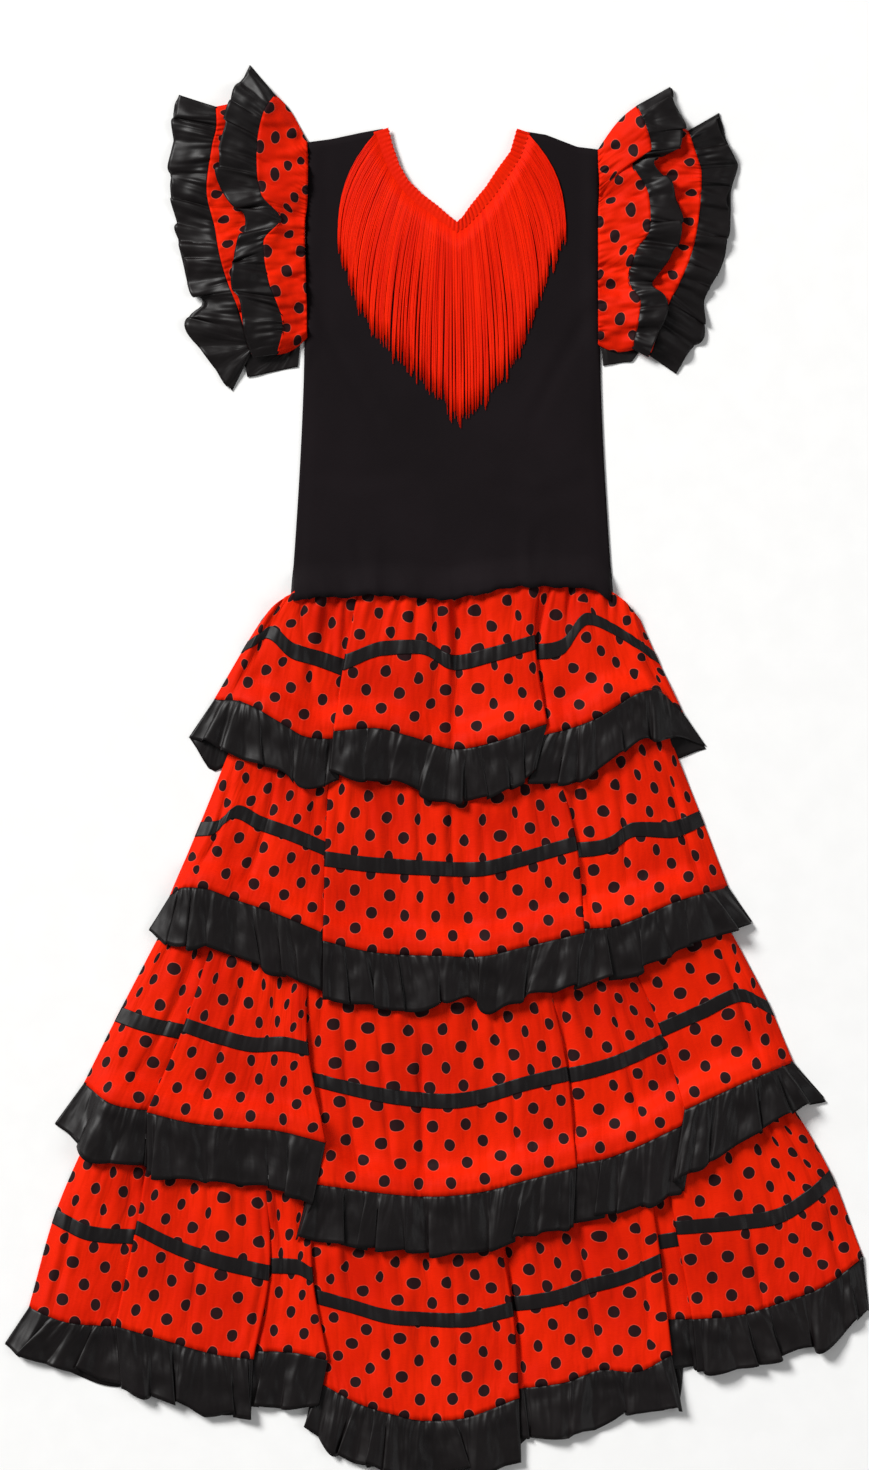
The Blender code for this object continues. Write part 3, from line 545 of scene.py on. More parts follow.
# Each row of a tier is a fold, from the left side seam to the right one: the cloth's rise,
# then x and y at the tier's top, its ribbon, its lower seam and the ruffle's hem, then how
# far the back ruffle shows below the hem. A row that starts with a tuck lies under the row
# before it, or over it when the tuck is below zero.
tierTables = {
    1: [
        (0, (-175, 144), (-189, 128), (-223, 70), (-248, 32), -1, 0),
        (3, (-161, 160), (-178, 136), (-205, 70), (-222, 22), 24, 0),
        (1, (-146, 170), (-166, 144), (-189, 66), (-191, 9), -3, 0),
        (4, (-131, 177), (-143, 127), (-155, 47), (-154, -3), -3, 0),
        (2, (-107, 175), (-117, 119), (-129, 33), (-131, -23), -3, 0),
        (0, (-81, 175), (-94, 108), (-106, 31), (-110, -10), -3, 0),
        (8, (-73, 175), (-86, 116), (-98, 39), (-103, -1), -3, -7),
        (5, (-41, 178), (-52, 129), (-62, 42), (-61, -11), -3, 0),
        (5, (-17, 175), (-17, 130), (-27, 34), (-33, -14), -3, 0),
        (0, (13, 174), (18, 115), (18, 21), (13, -32), -3, 0),
        (5, (49, 181), (55, 123), (53, 27), (58, -28), -3, 0),
        (7, (98, 185), (92, 135), (103, 46), (87, -1), -3, 0),
        (1, (108, 185), (101, 125), (114, 34), (108, -12), -3, 6),
        (2, (129, 186), (125, 131), (137, 43), (133, -13), -3, 0),
        (6, (148, 185), (149, 157), (163, 54), (167, 4), -3, 0),
        (3, (169, 175), (173, 148), (197, 75), (199, 24), -3, 0),
        (2, (185, 165), (193, 136), (217, 80), (221, 31), 24, 0),
        (0, (203, 144), (217, 118), (246, 57), (269, 24), 3, 0),
    ],
    2: [
        (0, (-187, 64), (-236, -52), (-267, -126), (-288, -160), -1, 0),
        (2, (-179, 62), (-218, -50), (-253, -117), (-265, -175), -2, 0),
        (5, (-169, 59), (-199, -35), (-232, -118), (-232, -175), -3, 0),
        (2, (-153, 50), (-175, -46), (-201, -129), (-197, -188), -3, 0),
        (5, (-135, 39), (-147, -56), (-165, -141), (-153, -205), -3, 0),
        (1, (-109, 34), (-115, -74), (-119, -165), (-121, -224), -3, 0),
        (7, (-99, 42), (-106, -81), (-106, -170), (-105, -229), -3, -6),
        (4, (-75, 46), (-73, -86), (-71, -180), (-69, -237), -3, 0),
        (2, (-41, 42), (-33, -89), (-33, -184), (-29, -241), -3, 0),
        (5, (-7, 30), (3, -91), (7, -185), (9, -230), -3, 0),
        (2, (18, 24), (25, -92), (29, -186), (31, -226), -3, 0),
        (5, (43, 28), (47, -91), (49, -185), (51, -244), -3, 0),
        (4, (67, 37), (79, -83), (79, -178), (71, -232), -3, 0),
        (6, (97, 46), (130, -66), (137, -162), (133, -218), -3, 0),
        (2, (107, 42), (144, -73), (155, -158), (149, -214), -3, 5),
        (2, (137, 46), (169, -68), (175, -156), (177, -209), -3, 0),
        (5, (159, 57), (197, -52), (203, -146), (209, -199), -3, 0),
        (3, (185, 74), (229, -52), (241, -130), (253, -177), -2, 0),
        (0, (218, 62), (262, -41), (291, -117), (315, -152), -1, 0),
    ],
    3: [
        (0, (-247, -114), (-315, -237), (-353, -313), (-382, -354), -1, 0),
        (4, (-231, -114), (-289, -246), (-325, -332), (-345, -386), -2, 0),
        (0, (-215, -122), (-255, -256), (-295, -340), (-297, -396), -3, 0),
        (6, (-205, -126), (-242, -248), (-281, -341), (-279, -403), -3, -7),
        (5, (-185, -130), (-215, -259), (-247, -351), (-241, -411), -3, 0),
        (3, (-165, -138), (-179, -267), (-203, -356), (-201, -414), -3, 0),
        (6, (-149, -146), (-155, -266), (-161, -359), (-163, -418), -3, 0),
        (9, (-131, -156), (-134, -271), (-118, -371), (-131, -433), -3, 0),
        (0, (-121, -162), (-127, -297), (-106, -412), (-119, -469), -3, 14),
        (2, (-97, -170), (-91, -310), (-75, -419), (-77, -475), -3, 0),
        (5, (-69, -176), (-51, -318), (-41, -423), (-37, -477), -3, 0),
        (1, (-37, -179), (-16, -322), (-13, -425), (-5, -481), -3, 0),
        (5, (-1, -180), (11, -323), (15, -424), (25, -482), -3, 0),
        (2, (33, -180), (47, -318), (51, -419), (53, -479), -3, 0),
        (5, (59, -176), (83, -307), (83, -410), (79, -470), -3, 0),
        (6, (93, -168), (124, -296), (133, -396), (129, -456), -3, 0),
        (2, (103, -166), (133, -299), (143, -394), (141, -454), -3, 5),
        (4, (129, -158), (169, -288), (175, -385), (179, -442), -3, 0),
        (0, (163, -152), (217, -261), (243, -348), (227, -420), -3, 0),
        (7, (177, -150), (227, -252), (253, -338), (245, -411), -3, -9),
        (5, (207, -138), (263, -234), (287, -320), (283, -384), -3, 0),
        (3, (239, -125), (301, -218), (323, -304), (327, -357), -2, 0),
        (0, (267, -118), (330, -231), (356, -292), (387, -328), -1, 0),
    ],
    4: [
        (0, (-325, -324), (-380, -439), (-408, -537), (-432, -574), -1, 0),
        (4, (-309, -331), (-345, -455), (-371, -551), (-397, -591), -2, 0),
        (0, (-285, -335), (-301, -459), (-325, -556), (-319, -620), -3, 0),
        (8, (-273, -338), (-295, -450), (-315, -555), (-309, -618), -3, -9),
        (5, (-245, -346), (-257, -470), (-269, -570), (-271, -630), -3, 0),
        (6, (-211, -349), (-213, -484), (-223, -583), (-223, -648), -3, 0),
        (6, (-181, -351), (-171, -494), (-188, -588), (-191, -644), -3, 0),
        (1, (-175, -352), (-165, -487), (-181, -580), (-183, -636), -3, 7),
        (4, (-153, -354), (-141, -488), (-141, -582), (-147, -638), -3, 0),
        (7, (-125, -362), (-131, -496), (-115, -589), (-125, -635), -3, 0),
        (0, (-113, -380), (-121, -514), (-105, -610), (-113, -655), -3, 11),
        (3, (-97, -408), (-87, -528), (-77, -633), (-89, -690), -3, 0),
        (5, (-65, -414), (-51, -538), (-45, -643), (-45, -703), -3, 0),
        (2, (-33, -418), (-17, -541), (-13, -650), (-7, -705), -3, 0),
        (5, (3, -419), (23, -542), (27, -647), (33, -702), -3, 0),
        (6, (41, -415), (66, -531), (71, -627), (69, -692), -3, 0),
        (0, (51, -413), (81, -527), (91, -619), (97, -666), -3, 7),
        (5, (89, -402), (119, -519), (129, -611), (129, -668), -3, 0),
        (2, (119, -394), (151, -508), (165, -599), (167, -656), -3, 0),
        (6, (153, -384), (185, -499), (197, -601), (203, -639), -3, 0),
        (7, (195, -368), (216, -483), (230, -584), (239, -641), -3, 0),
        (0, (209, -362), (227, -466), (237, -549), (249, -594), -3, 12),
        (0, (214, -358), (233, -459), (248, -548), (256, -597), -3, 0),
        (8, (223, -354), (244, -450), (264, -548), (266, -601), -3, -12),
        (5, (263, -326), (293, -445), (303, -544), (315, -596), -3, 0),
        (2, (291, -314), (339, -438), (343, -532), (353, -583), -3, 0),
        (4, (307, -306), (369, -420), (385, -516), (395, -570), -2, 0),
        (0, (329, -300), (392, -400), (426, -487), (432, -540), -1, 0),
    ],
}

tierCut = {
    "step": (3.8, 1.9),     # between columns, across, back and front
    "rowStep": (9.0, 5.0),  # between rows, down, back and front
    "loft": 1.6,            # of a front over what it lies on
    "relief": 1.15,         # share of the table's rise
    "riseAt": (0.25, 1.0, 1.0, 0.8),    # share of the rise at the top, ribbon, seam and hem
    "underAt": (0.5, 0.9, 1.0, 1.1),    # share of a tuck there
    "turn": 0.95,           # radius of a tuck's turn
    "tuckUp": 6.0,          # of a tier's top under the tier above
    "fullness": (1.12, 1.18),   # flat width over the lower seam's length, back and front
    "tallest": 10.5,        # of the folds
    "roll": (12, 15),       # width of the roll beside the side folds, back and front
    "pressed": 4,           # and of the edge that is pressed down
    "wall": 0.45,
}


def tierColumns(rows, front):
    # columns of four points down the tier, from the left side seam to the right one
    knots = []
    for rise, top, band, seam, hem, show, tuck in rows:
        points = [(top[0], top[1] + tierCut["tuckUp"]), band, seam, hem]
        if not front:
            points[3] = (hem[0], hem[1] - show)
        lift = [rise * tierCut["relief"] * share * front for share in tierCut["riseAt"]]
        knots.append((np.array([(*p, z) for p, z in zip(points, lift)], float), tuck))
    turn = tierCut["turn"]
    under = np.array(tierCut["underAt"])
    runs, turns = [[knots[0][0]]], []
    for (before, _), (after, tuck) in zip(knots, knots[1:]):
        if not front or tuck == 0:
            runs[-1].append(after)
            continue
        edge = 0.5 * (before[:, 0] + after[:, 0])
        upper, lower = (before, after) if tuck > 0 else (after, before)
        upper[:, 0] = edge
        lower[:, 0] = edge - tuck * under
        upper[:, 2] = np.maximum(upper[:, 2], lower[:, 2] + 4.2 * turn)
        out = math.copysign(turn, tuck)
        bend = [upper + (out, 0, -turn), upper + (0, 0, -2 * turn)]
        back = [lower + (0, 0, 2 * turn), lower + (-out, 0, turn)]
        middle = [bend[-1] + (back[0] - bend[-1]) * k / 5 for k in range(1, 5)]
        hidden = bend + middle + back
        turns.append(hidden if tuck > 0 else hidden[::-1])
        runs.append([after])
    columns, plain = [], []
    for place, run in enumerate(runs):
        values = np.array(run).reshape(len(run), -1)
        middles = np.array([point[1:3, :2].mean(axis=0) for point in run])
        places = lengthAlong(middles)
        count = max(3, int(round(places[-1] / tierCut["step"][front])))
        at = np.linspace(0, places[-1], count + 1)
        if len(run) == 2:
            line = values[0] + (values[1] - values[0]) * (at / places[-1])[:, None]
        else:
            line = smoothLine(places, values, at)
        columns.append(line.reshape(-1, 4, 3))
        plain += [1] * len(line)
        if place < len(turns):
            columns.append(np.array(turns[place]))
            plain += [0] * len(turns[place])
    return np.concatenate(columns), np.array(plain)


def downTier(columns, shares, bandShare):
    # points at shares of the way from the top to the lower seam, smooth through the ribbon
    top, band, seam = (columns[None, :, k] for k in (0, 1, 2))
    upper = (band - top) / bandShare
    lower = (seam - band) / (1 - bandShare)
    middle = 0.5 * (upper + lower)
    s = shares[..., None]
    first = s < bandShare
    start, end = np.where(first, top, band), np.where(first, band, seam)
    slopeA, slopeB = np.where(first, upper, middle), np.where(first, middle, lower)
    gap = np.where(first, bandShare, 1 - bandShare)
    t = np.where(first, s / bandShare, (s - bandShare) / (1 - bandShare))
    return cubic(t, gap, start, slopeA, end, slopeB)


def fromTucks(places, plain):
    # distance of each column from the nearest tuck
    spots = places[plain == 0]
    if len(spots) == 0:
        return np.full(places.shape, 1e3)
    return np.abs(places[:, None] - spots[None, :]).min(axis=1)


tiers = {
    # dots: how far the dots are moved across and up the cloth from the lower seam
    1: {"dots": (2.0, 17.9), "seed": 11, "topReach": (20, 80), "gathered": 1.0, "creases": [
        (2.4, 5.0, [(108, 170), (98, 125), (111, 40)]),
        (2.0, 6.0, [(18, 168), (20, 110), (17, 30)]),
        (1.6, 5.0, [(-137, 168), (-130, 125), (-124, 80)]),
        (1.5, 4.5, [(-20, 172), (-24, 130), (-20, 95)]),
        (1.4, 4.0, [(60, 178), (62, 140), (56, 100)]),
        (1.5, 5.0, [(205, 130), (212, 105), (236, 66)]),
        (1.3, 4.0, [(-165, 150), (-186, 108), (-205, 76)]),
    ]},
    2: {"dots": (9.0, 17.9), "seed": 12, "topReach": (75, 170), "gathered": 1.1, "creases": [
        (2.2, 5.0, [(130, 20), (141, -66), (158, -155)]),
        (1.7, 5.0, [(183, 10), (186, -60), (190, -110)]),
        (1.4, 5.0, [(-19, 0), (-17, -70), (-15, -150)]),
        (1.5, 4.5, [(13, -10), (14, -80), (16, -130)]),
        (1.5, 4.5, [(45, -5), (47, -80), (49, -140)]),
        (1.6, 5.0, [(-155, 20), (-168, -50), (-190, -110)]),
        (1.3, 4.5, [(230, 10), (246, -60), (262, -110)]),
        (1.2, 4.0, [(-200, 10), (-222, -70), (-240, -105)]),
    ]},
    3: {"dots": (4.0, 26.3), "seed": 13, "topReach": (85, 200), "gathered": 1.35, "creases": [
        (1.8, 5.0, [(-12, -230), (-16, -320), (-13, -400)]),
        (1.8, 5.0, [(66, -225), (76, -300), (80, -390)]),
        (1.8, 5.0, [(124, -215), (130, -290), (140, -380)]),
        (1.6, 5.0, [(-185, -195), (-212, -270), (-235, -330)]),
        (1.5, 5.0, [(-240, -180), (-268, -250), (-310, -322)]),
        (1.6, 5.0, [(170, -210), (190, -290), (205, -360)]),
        (1.6, 5.0, [(285, -180), (303, -230), (322, -290)]),
        (1.5, 4.5, [(-60, -240), (-52, -320), (-46, -390)]),
        (1.6, 6.0, [(-95, -215), (-92, -300), (-80, -395)]),
    ]},
    4: {"dots": (0.0, 17.9), "seed": 14, "topReach": (85, 200), "gathered": 1.35, "creases": [
        (2.4, 5.0, [(66, -470), (76, -545), (88, -618)]),
        (1.8, 5.0, [(308, -440), (318, -490), (328, -540)]),
        (1.6, 5.0, [(392, -440), (398, -480), (405, -510)]),
        (1.7, 5.0, [(-176, -430), (-168, -490), (-184, -575)]),
        (1.5, 5.0, [(-60, -470), (-50, -540), (-44, -620)]),
        (1.5, 5.0, [(10, -470), (18, -540), (22, -620)]),
        (1.5, 5.0, [(140, -450), (150, -510), (160, -580)]),
        (1.5, 5.0, [(-360, -430), (-372, -490), (-385, -540)]),
        (1.4, 5.0, [(200, -430), (206, -490), (212, -570)]),
        (1.4, 5.0, [(-230, -440), (-240, -500), (-250, -560)]),
    ]},
}


# gathers of a tier: short and long ones below its top, those at its seam and at its ribbon
tierFolds = {
    "short": {"spacing": (8, 17), "height": (2.4, 5.6), "width": (2.3, 3.8), "spread": 0.025,
              "fall": 0.8},
    "long": {"spacing": (22, 46), "height": (2.4, 4.8), "width": (4.5, 8.0),
             "reach": (110, 240), "spread": 0.04, "fall": 0.7},
    "seam": {"spacing": (6, 13), "height": (0.8, 2.6), "width": (1.6, 2.6), "reach": (8, 36)},
    "ribbon": {"spacing": (7, 22), "height": (0.6, 2.0), "width": (1.6, 2.8), "reach": (60, 61)},
}


def tierSurface(number, front):
    spec = tiers[number]
    columns, plain = tierColumns(tierTables[number], front)
    upper = np.linalg.norm(columns[:, 1, :2] - columns[:, 0, :2], axis=1)
    lower = np.linalg.norm(columns[:, 2, :2] - columns[:, 1, :2], axis=1)
    bandShare = float(upper.mean() / (upper.mean() + lower.mean()))
    long = float(upper.mean() + lower.mean())
    places = lengthAlong(columns[:, 1])
    resting = restingMap()
    seed = spec["seed"] + (0 if front else 50)
    sides = np.minimum(places, places[-1] - places)
    calm = ease(fromTucks(places, plain) / 9)

    def reliefAt(points, shares):
        u = np.broadcast_to(places[None, :], shares.shape)
        v = shares * long
        band = bandShare * long + 7.5
        x, y = points[..., 0], points[..., 1]
        relief = gathers(u, v, 0, seed, reach=spec["topReach"], **tierFolds["short"])
        relief += gathers(u, v, 0, seed + 1, **tierFolds["long"])
        relief *= spec["gathered"]
        relief += gathers(u, v, long, seed + 2, **tierFolds["seam"])
        pucker = gathers(u, np.full_like(v, 0.0), 0, seed + 3, **tierFolds["ribbon"])
        relief += pucker * np.exp(-((v - band) / 15) ** 2)
        if front:
            relief += 1.7 * creaseRelief(x, y, spec["creases"])
            relief += 1.4 * softNoise(x, y, 42, seed) + 0.9 * softNoise(x * 1.6, y, 17, seed + 5)
            return relief * calm[None, :]
        return 0.5 * relief

    def surface(shares):
        points = downTier(columns, shares, bandShare)
        relief = reliefAt(points, shares)
        floor = heightUnder(resting, points)
        if front:
            roll = ease(sides / tierCut["roll"][1])[None, :]
            free = tierCut["loft"] * roll + points[..., 2] + relief * roll
            free = np.maximum(free, 0.15 * roll + points[..., 2] * 0.3)
            points[..., 2] = floor + withinRoom(free, floor, tierCut["tallest"])
            points[..., 2] = downAtSides(points[..., 2], sides[None, :], tierCut["pressed"],
                                         np.maximum(floor * 0.6, 0.7))
        else:
            roll = ease(sides / tierCut["roll"][0])[None, :]
            points[..., 2] = floor + np.maximum(relief, 0) * roll
        return points, relief

    return {"columns": columns, "plain": plain, "places": places, "bandShare": bandShare,
            "long": long, "surface": surface, "resting": resting, "sides": sides,
            "bandGap": lower}


def makeTier(number, front):
    side = "Front" if front else "Back"
    tier = tierSurface(number, front)
    rows = max(8, int(tier["long"] / tierCut["rowStep"][front]))
    shares = np.repeat(np.linspace(0, 1, rows)[:, None], len(tier["columns"]), axis=1)
    points, relief = tier["surface"](shares)
    width = cutWidth(points, tierCut["fullness"][front])
    calm = meanRows(relief, 5)
    valley = np.clip((calm - relief) / 1.2, 0, 1) * 0.9
    valley = valley * np.where(tier["plain"] > 0, 1, 0)[None, :]
    uv = clothPlaces(points, width, valley, tiers[number]["dots"])
    lean = threadLean(points, uv, tier["plain"])
    piece = makeShell(f"tier{number}{side}", points, "dottedCloth", uv, tierCut["wall"], lean)
    declare(piece, f"tier_{number}_{side.lower()}")
    tier["last"] = points[-1]
    return tier


# down: the share of the ribbon's width at each row, close together at its two edges
ribbonCut = {"width": 15.0, "down": (0.0, 0.07, 0.5, 0.93, 1.0), "wall": 0.35, "over": 0.5}


def makeRibbon(number, front, tier):
    side = "Front" if front else "Back"
    downGap = (1 - tier["bandShare"]) * ribbonCut["width"] / tier["bandGap"]
    steps = np.array(ribbonCut["down"])[:, None]
    shares = tier["bandShare"] + steps * downGap[None, :]
    points = tier["surface"](shares)[0]
    if front:
        points = points + facing(points) * (tierCut["wall"] + 0.15)
        bulge = 0.5 + 0.5 * softNoise(tier["places"][None, :] + 0 * steps, 6 * steps, 7, number)
        points[..., 2] += (ribbonCut["over"] * bulge * np.sin(np.pi * steps)
                           * np.where(tier["plain"] > 0, 1, 0)[None, :])
    else:
        points[..., 2] = heightUnder(restingMap(), points)
    uv = clothPlaces(points, np.linalg.norm(np.diff(points[2], axis=0), axis=1).sum())
    piece = makeShell(f"ribbon{number}{side}", points, "blackSatin", uv, ribbonCut["wall"])
    declare(piece, f"ribbon_{number}_{side.lower()}")


ruffleCut = {"rows": 15, "wall": 0.4, "height": (4.0, 8.0), "pitch": (14, 40), "lean": (4, 15),
             "plateau": 0.5, "tilt": 3.4, "crumple": 2.2, "recede": 6.0, "tuckUp": 1.4,
             "tallest": 8.5, "landsAt": 0.14, "pressed": 10, "grow": 0.75, "fullness": 1.03,
             "tight": {"spacing": (6, 15), "height": (0.8, 2.6), "width": (1.8, 3.4),
                       "reach": (16, 64), "spread": 0.06, "fall": 1.1}}
ruffleBack = {"height": (0.5, 2.0), "pitch": (25, 60), "lean": (0, 3), "plateau": 0.8,
              "tilt": 0.3, "crumple": 0.3, "recede": 1.5}


def rufflePoints(root, hem, places, plain, resting, spec, seed):
    # a ruffle from its gathered root to its hem, in uneven waves that lean over
    chance = random.Random(seed)
    down = np.linspace(0, 1, ruffleCut["rows"])[:, None]
    root, hem = root[None], hem[None]
    points = root * (1 - down[..., None]) + hem * down[..., None]
    q = lengthAlong(hem[0, :, :2])
    rise = np.zeros(q.shape)
    lean = np.zeros(q.shape)
    recede = np.zeros(q.shape)
    place = -chance.uniform(0, 10)
    while place < q[-1]:
        pitch = chance.uniform(*spec["pitch"])
        tall = chance.uniform(*spec["height"]) * min(1.0, 24 / pitch + 0.25)
        shift = chance.choice((-1, 1)) * chance.uniform(*spec["lean"])
        phase = (q - place) / pitch
        inside = (phase >= 0) & (phase < 1)
        phase = np.clip(phase, 0, 1) ** chance.uniform(0.7, 1.4)
        wave = (0.5 - 0.5 * np.cos(2 * np.pi * phase)) ** spec["plateau"]
        tilt = chance.uniform(-1, 1) * spec["tilt"] * (2 * phase - 1)
        rise += np.where(inside, (tall + tilt) * wave, 0)
        lean += np.where(inside, shift * wave, 0)
        recede += np.where(inside, chance.uniform(-1, 1) * spec["recede"] * wave, 0)
        place += pitch
    calm = ease(fromTucks(places, plain) / 12) * ease(np.minimum(q, q[-1] - q) / 14)
    along = unit(meanRows(np.gradient(hem[0, :, :2], axis=0).T, 6).T)
    outward = unit((hem - root)[0, :, :2])
    grow = down ** ruffleCut["grow"]
    points[..., :2] += (lean * calm)[None, :, None] * grow[..., None] * along[None]
    points[..., :2] += (recede * calm)[None, :, None] * down[..., None] ** 3 * outward[None]
    floor = heightUnder(resting, points)
    level = points[..., 2]
    length = float(np.linalg.norm((hem - root)[0, :, :2], axis=1).mean())
    u = np.broadcast_to(q[None, :], level.shape)
    v = np.broadcast_to(down * length, level.shape)
    tight = gathers(u, v, 0, seed + 7, **ruffleCut["tight"]) * ease(down / 0.2)
    x, y = points[..., 0], points[..., 1]
    loose = np.clip(down / 0.25, 0, 1) * np.clip(calm + 0.2, 0, 1)[None, :]
    crumple = softNoise(x + 0.6 * y, y - 0.5 * x, 22, seed + 8)
    crumple = crumple + 0.3 * softNoise(x - 0.5 * y, y + 0.6 * x, 10, seed + 9)
    free = ((rise * calm)[None, :] * grow + tight * np.clip(calm + 0.2, 0, 1)[None, :]
            + spec["crumple"] * crumple * loose)
    base = level + np.maximum(floor - level, 0) * ease(down / ruffleCut["landsAt"])
    points[..., 2] = base + withinRoom(np.maximum(free, 0), base, ruffleCut["tallest"])
    return points


def betweenRows(rows, finer):
    # the rows with more between them
    at = np.linspace(0, len(rows) - 1, finer * (len(rows) - 1) + 1)
    k = np.minimum(at.astype(int), len(rows) - 2)
    return rows[k] + (rows[k + 1] - rows[k]) * (at - k)[:, None]


def makeRuffle(number, front, tier):
    side = "Front" if front else "Back"
    columns = tier["columns"]
    root = tier["last"].copy()
    outward = unit(columns[:, 3, :2] - columns[:, 2, :2])
    root[:, :2] -= outward * ruffleCut["tuckUp"]
    root[:, 2] -= ruffleCut["wall"] + 0.15
    hem = columns[:, 3].copy()
    hem[:, 2] += heightUnder(tier["resting"], hem)
    if not front:
        root[:, 2] = heightUnder(tier["resting"], root)
    finer = 2 if front else 1
    root, hem, line = (betweenRows(part, finer) for part in (
        root, hem, np.stack([tier["places"], tier["plain"], tier["sides"]], axis=1)))
    points = rufflePoints(root, hem, line[:, 0], (line[:, 1] > 0.99) * 1, tier["resting"],
                          ruffleCut if front else ruffleBack, 100 * number + front)
    floor = heightUnder(tier["resting"], points)
    points[..., 2] = downAtSides(points[..., 2], line[None, :, 2], ruffleCut["pressed"],
                                 np.maximum(floor, 0.5 * front))
    uv = clothPlaces(points, cutWidth(points, ruffleCut["fullness"]))
    piece = makeShell(f"ruffle{number}{side}", points, "blackSatin", uv, ruffleCut["wall"])
    declare(piece, f"ruffle_{number}_{side.lower()}")


# The bodice: the rise of the gathers over the waist, the shoulder or neck edge and the waist.
bodiceTable = [
    (0, (-132, 627), (-146, 168)),
    (2, (-104, 631), (-118, 173)),
    (1, (-76, 637), (-90, 171)),
    (4, (-54, 641), (-62, 175)),
    (2, (-48, 613), (-50, 175)),
    (3, (-19, 570), (-24, 172)),
    (0, (20, 542), (14, 170)),
    (3, (48, 572), (50, 178)),
    (1, (76, 613), (80, 183)),
    (3, (84, 639), (93, 182)),
    (1, (109, 635), (118, 183)),
    (2, (140, 623), (146, 183)),
    (0, (163, 620), (176, 169)),
]
bodiceCut = {
    "step": 3.2, "rows": 65, "wall": 0.7, "loft": 1.2, "waistPull": 6.0, "roll": 16,
    "hang": {"spacing": (9, 20), "height": (0.3, 1.0), "width": (3, 6), "reach": (25, 70)},
    "creases": [
        (1.0, 7.0, [(-120, 460), (-90, 400), (-60, 350)]),
        (0.9, 7.0, [(150, 455), (120, 400), (95, 350)]),
        (0.8, 9.0, [(-125, 300), (-80, 290), (-30, 300)]),
        (0.8, 8.0, [(150, 290), (100, 270), (60, 285)]),
        (0.7, 6.0, [(-80, 230), (-76, 205), (-74, 180)]),
        (0.7, 6.0, [(100, 235), (98, 210), (100, 188)]),
    ],
}


def makeBodice(front):
    side = "Front" if front else "Back"
    values = np.array([[*top, 0, *waist, rise] for rise, top, waist in bodiceTable], float)
    places = lengthAlong(values[:, 3:5])
    at = np.unique(np.concatenate([np.linspace(0, places[-1], int(places[-1] / bodiceCut["step"])),
                                   places[[3, 6, 9]]]))
    k = np.clip(np.searchsorted(places, at, side="right") - 1, 0, len(places) - 2)
    t = (at - places[k]) / (places[k + 1] - places[k])
    line = values[k] * (1 - t[:, None]) + values[k + 1] * t[:, None]
    line[:, 3:] = smoothLine(places, values[:, 3:], at)
    down = np.linspace(0, 1, bodiceCut["rows"])[:, None]
    x = line[:, 0] * (1 - down) + line[:, 3] * down
    y = line[:, 1] * (1 - down) + line[:, 4] * down
    y += down**8 * (2.2 * softNoise(x, 0 * x, 11, 75) + 1.2 * softNoise(x, 0 * x, 5, 76)) * front
    pull = bodiceCut["waistPull"] * np.sin(np.pi * down)
    across = at / at[-1]
    x = x + pull * ((1 - across) ** 4 - across ** 4)[None, :]
    resting = restingMap()
    sides = np.minimum(at, at[-1] - at)[None, :]
    z = readMap(resting, x, y)
    if front:
        roll = ease(sides / bodiceCut["roll"])
        wrinkles = creaseRelief(x, y, bodiceCut["creases"])
        wrinkles = wrinkles + 0.5 * softNoise(x, y, 60, 71) + 0.25 * softNoise(x, y, 22, 72)
        hang = gathers(np.broadcast_to(at[None, :], x.shape), down * 450, 450, 73,
                       **bodiceCut["hang"])
        free = (bodiceCut["loft"] + 0.6 * line[:, 5][None, :] * ease((down - 0.8) / 0.2)
                + wrinkles + hang) * roll
        z = z + np.maximum(free, 0)
        z = downAtSides(z, sides, tierCut["pressed"], 0.9)
    points = np.stack([x, y, z], axis=-1)
    uv = clothPlaces(points, at[-1])
    piece = makeShell(f"bodice{side}", points, "blackKnit", uv, bodiceCut["wall"])
    return piece, uv


# Each row of a sleeve is a fold, from its upper edge to its lower one: the rise, then x and y
# at the armhole, the puff's seam, the upper ruffle's hem, the cuff's seam and the lower hem.
sleeveTables = {
    "Left": [
        (0, (-130, 629), (-162, 675), (-187, 705), (-221, 663), (-258, 675)),
        (6, (-129, 610), (-173, 656), (-202, 677), (-220, 646), (-264, 654)),
        (9, (-129, 585), (-180, 615), (-218, 627), (-225, 620), (-263, 622)),
        (9, (-130, 562), (-175, 574), (-213, 572), (-230, 578), (-267, 585)),
        (2, (-132, 546), (-156, 550), (-190, 548), (-222, 542), (-260, 548)),
        (8, (-132, 526), (-173, 527), (-203, 516), (-217, 514), (-255, 514)),
        (9, (-131, 490), (-168, 488), (-206, 486), (-208, 484), (-247, 478)),
        (5, (-130, 458), (-156, 455), (-196, 458), (-197, 456), (-235, 466)),
        (4, (-130, 445), (-154, 442), (-192, 435), (-191, 434), (-250, 448)),
        (0, (-130, 432), (-160, 415), (-184, 412), (-186, 416), (-205, 379)),
    ],
    "Right": [
        (0, (161, 620), (200, 664), (233, 683), (251, 639), (282, 657)),
        (6, (161, 605), (208, 644), (243, 652), (255, 627), (288, 633)),
        (8, (162, 590), (214, 620), (246, 624), (261, 609), (299, 610)),
        (2, (162, 575), (195, 607), (219, 607), (264, 598), (301, 602)),
        (8, (161, 555), (211, 575), (235, 580), (264, 580), (294, 578)),
        (9, (161, 525), (213, 542), (244, 538), (260, 542), (291, 538)),
        (7, (161, 500), (199, 518), (235, 510), (253, 512), (283, 500)),
        (2, (161, 480), (192, 488), (215, 487), (240, 482), (267, 469)),
        (5, (161, 458), (203, 468), (231, 470), (232, 467), (267, 448)),
        (0, (161, 425), (196, 420), (211, 412), (213, 414), (239, 396)),
    ],
}
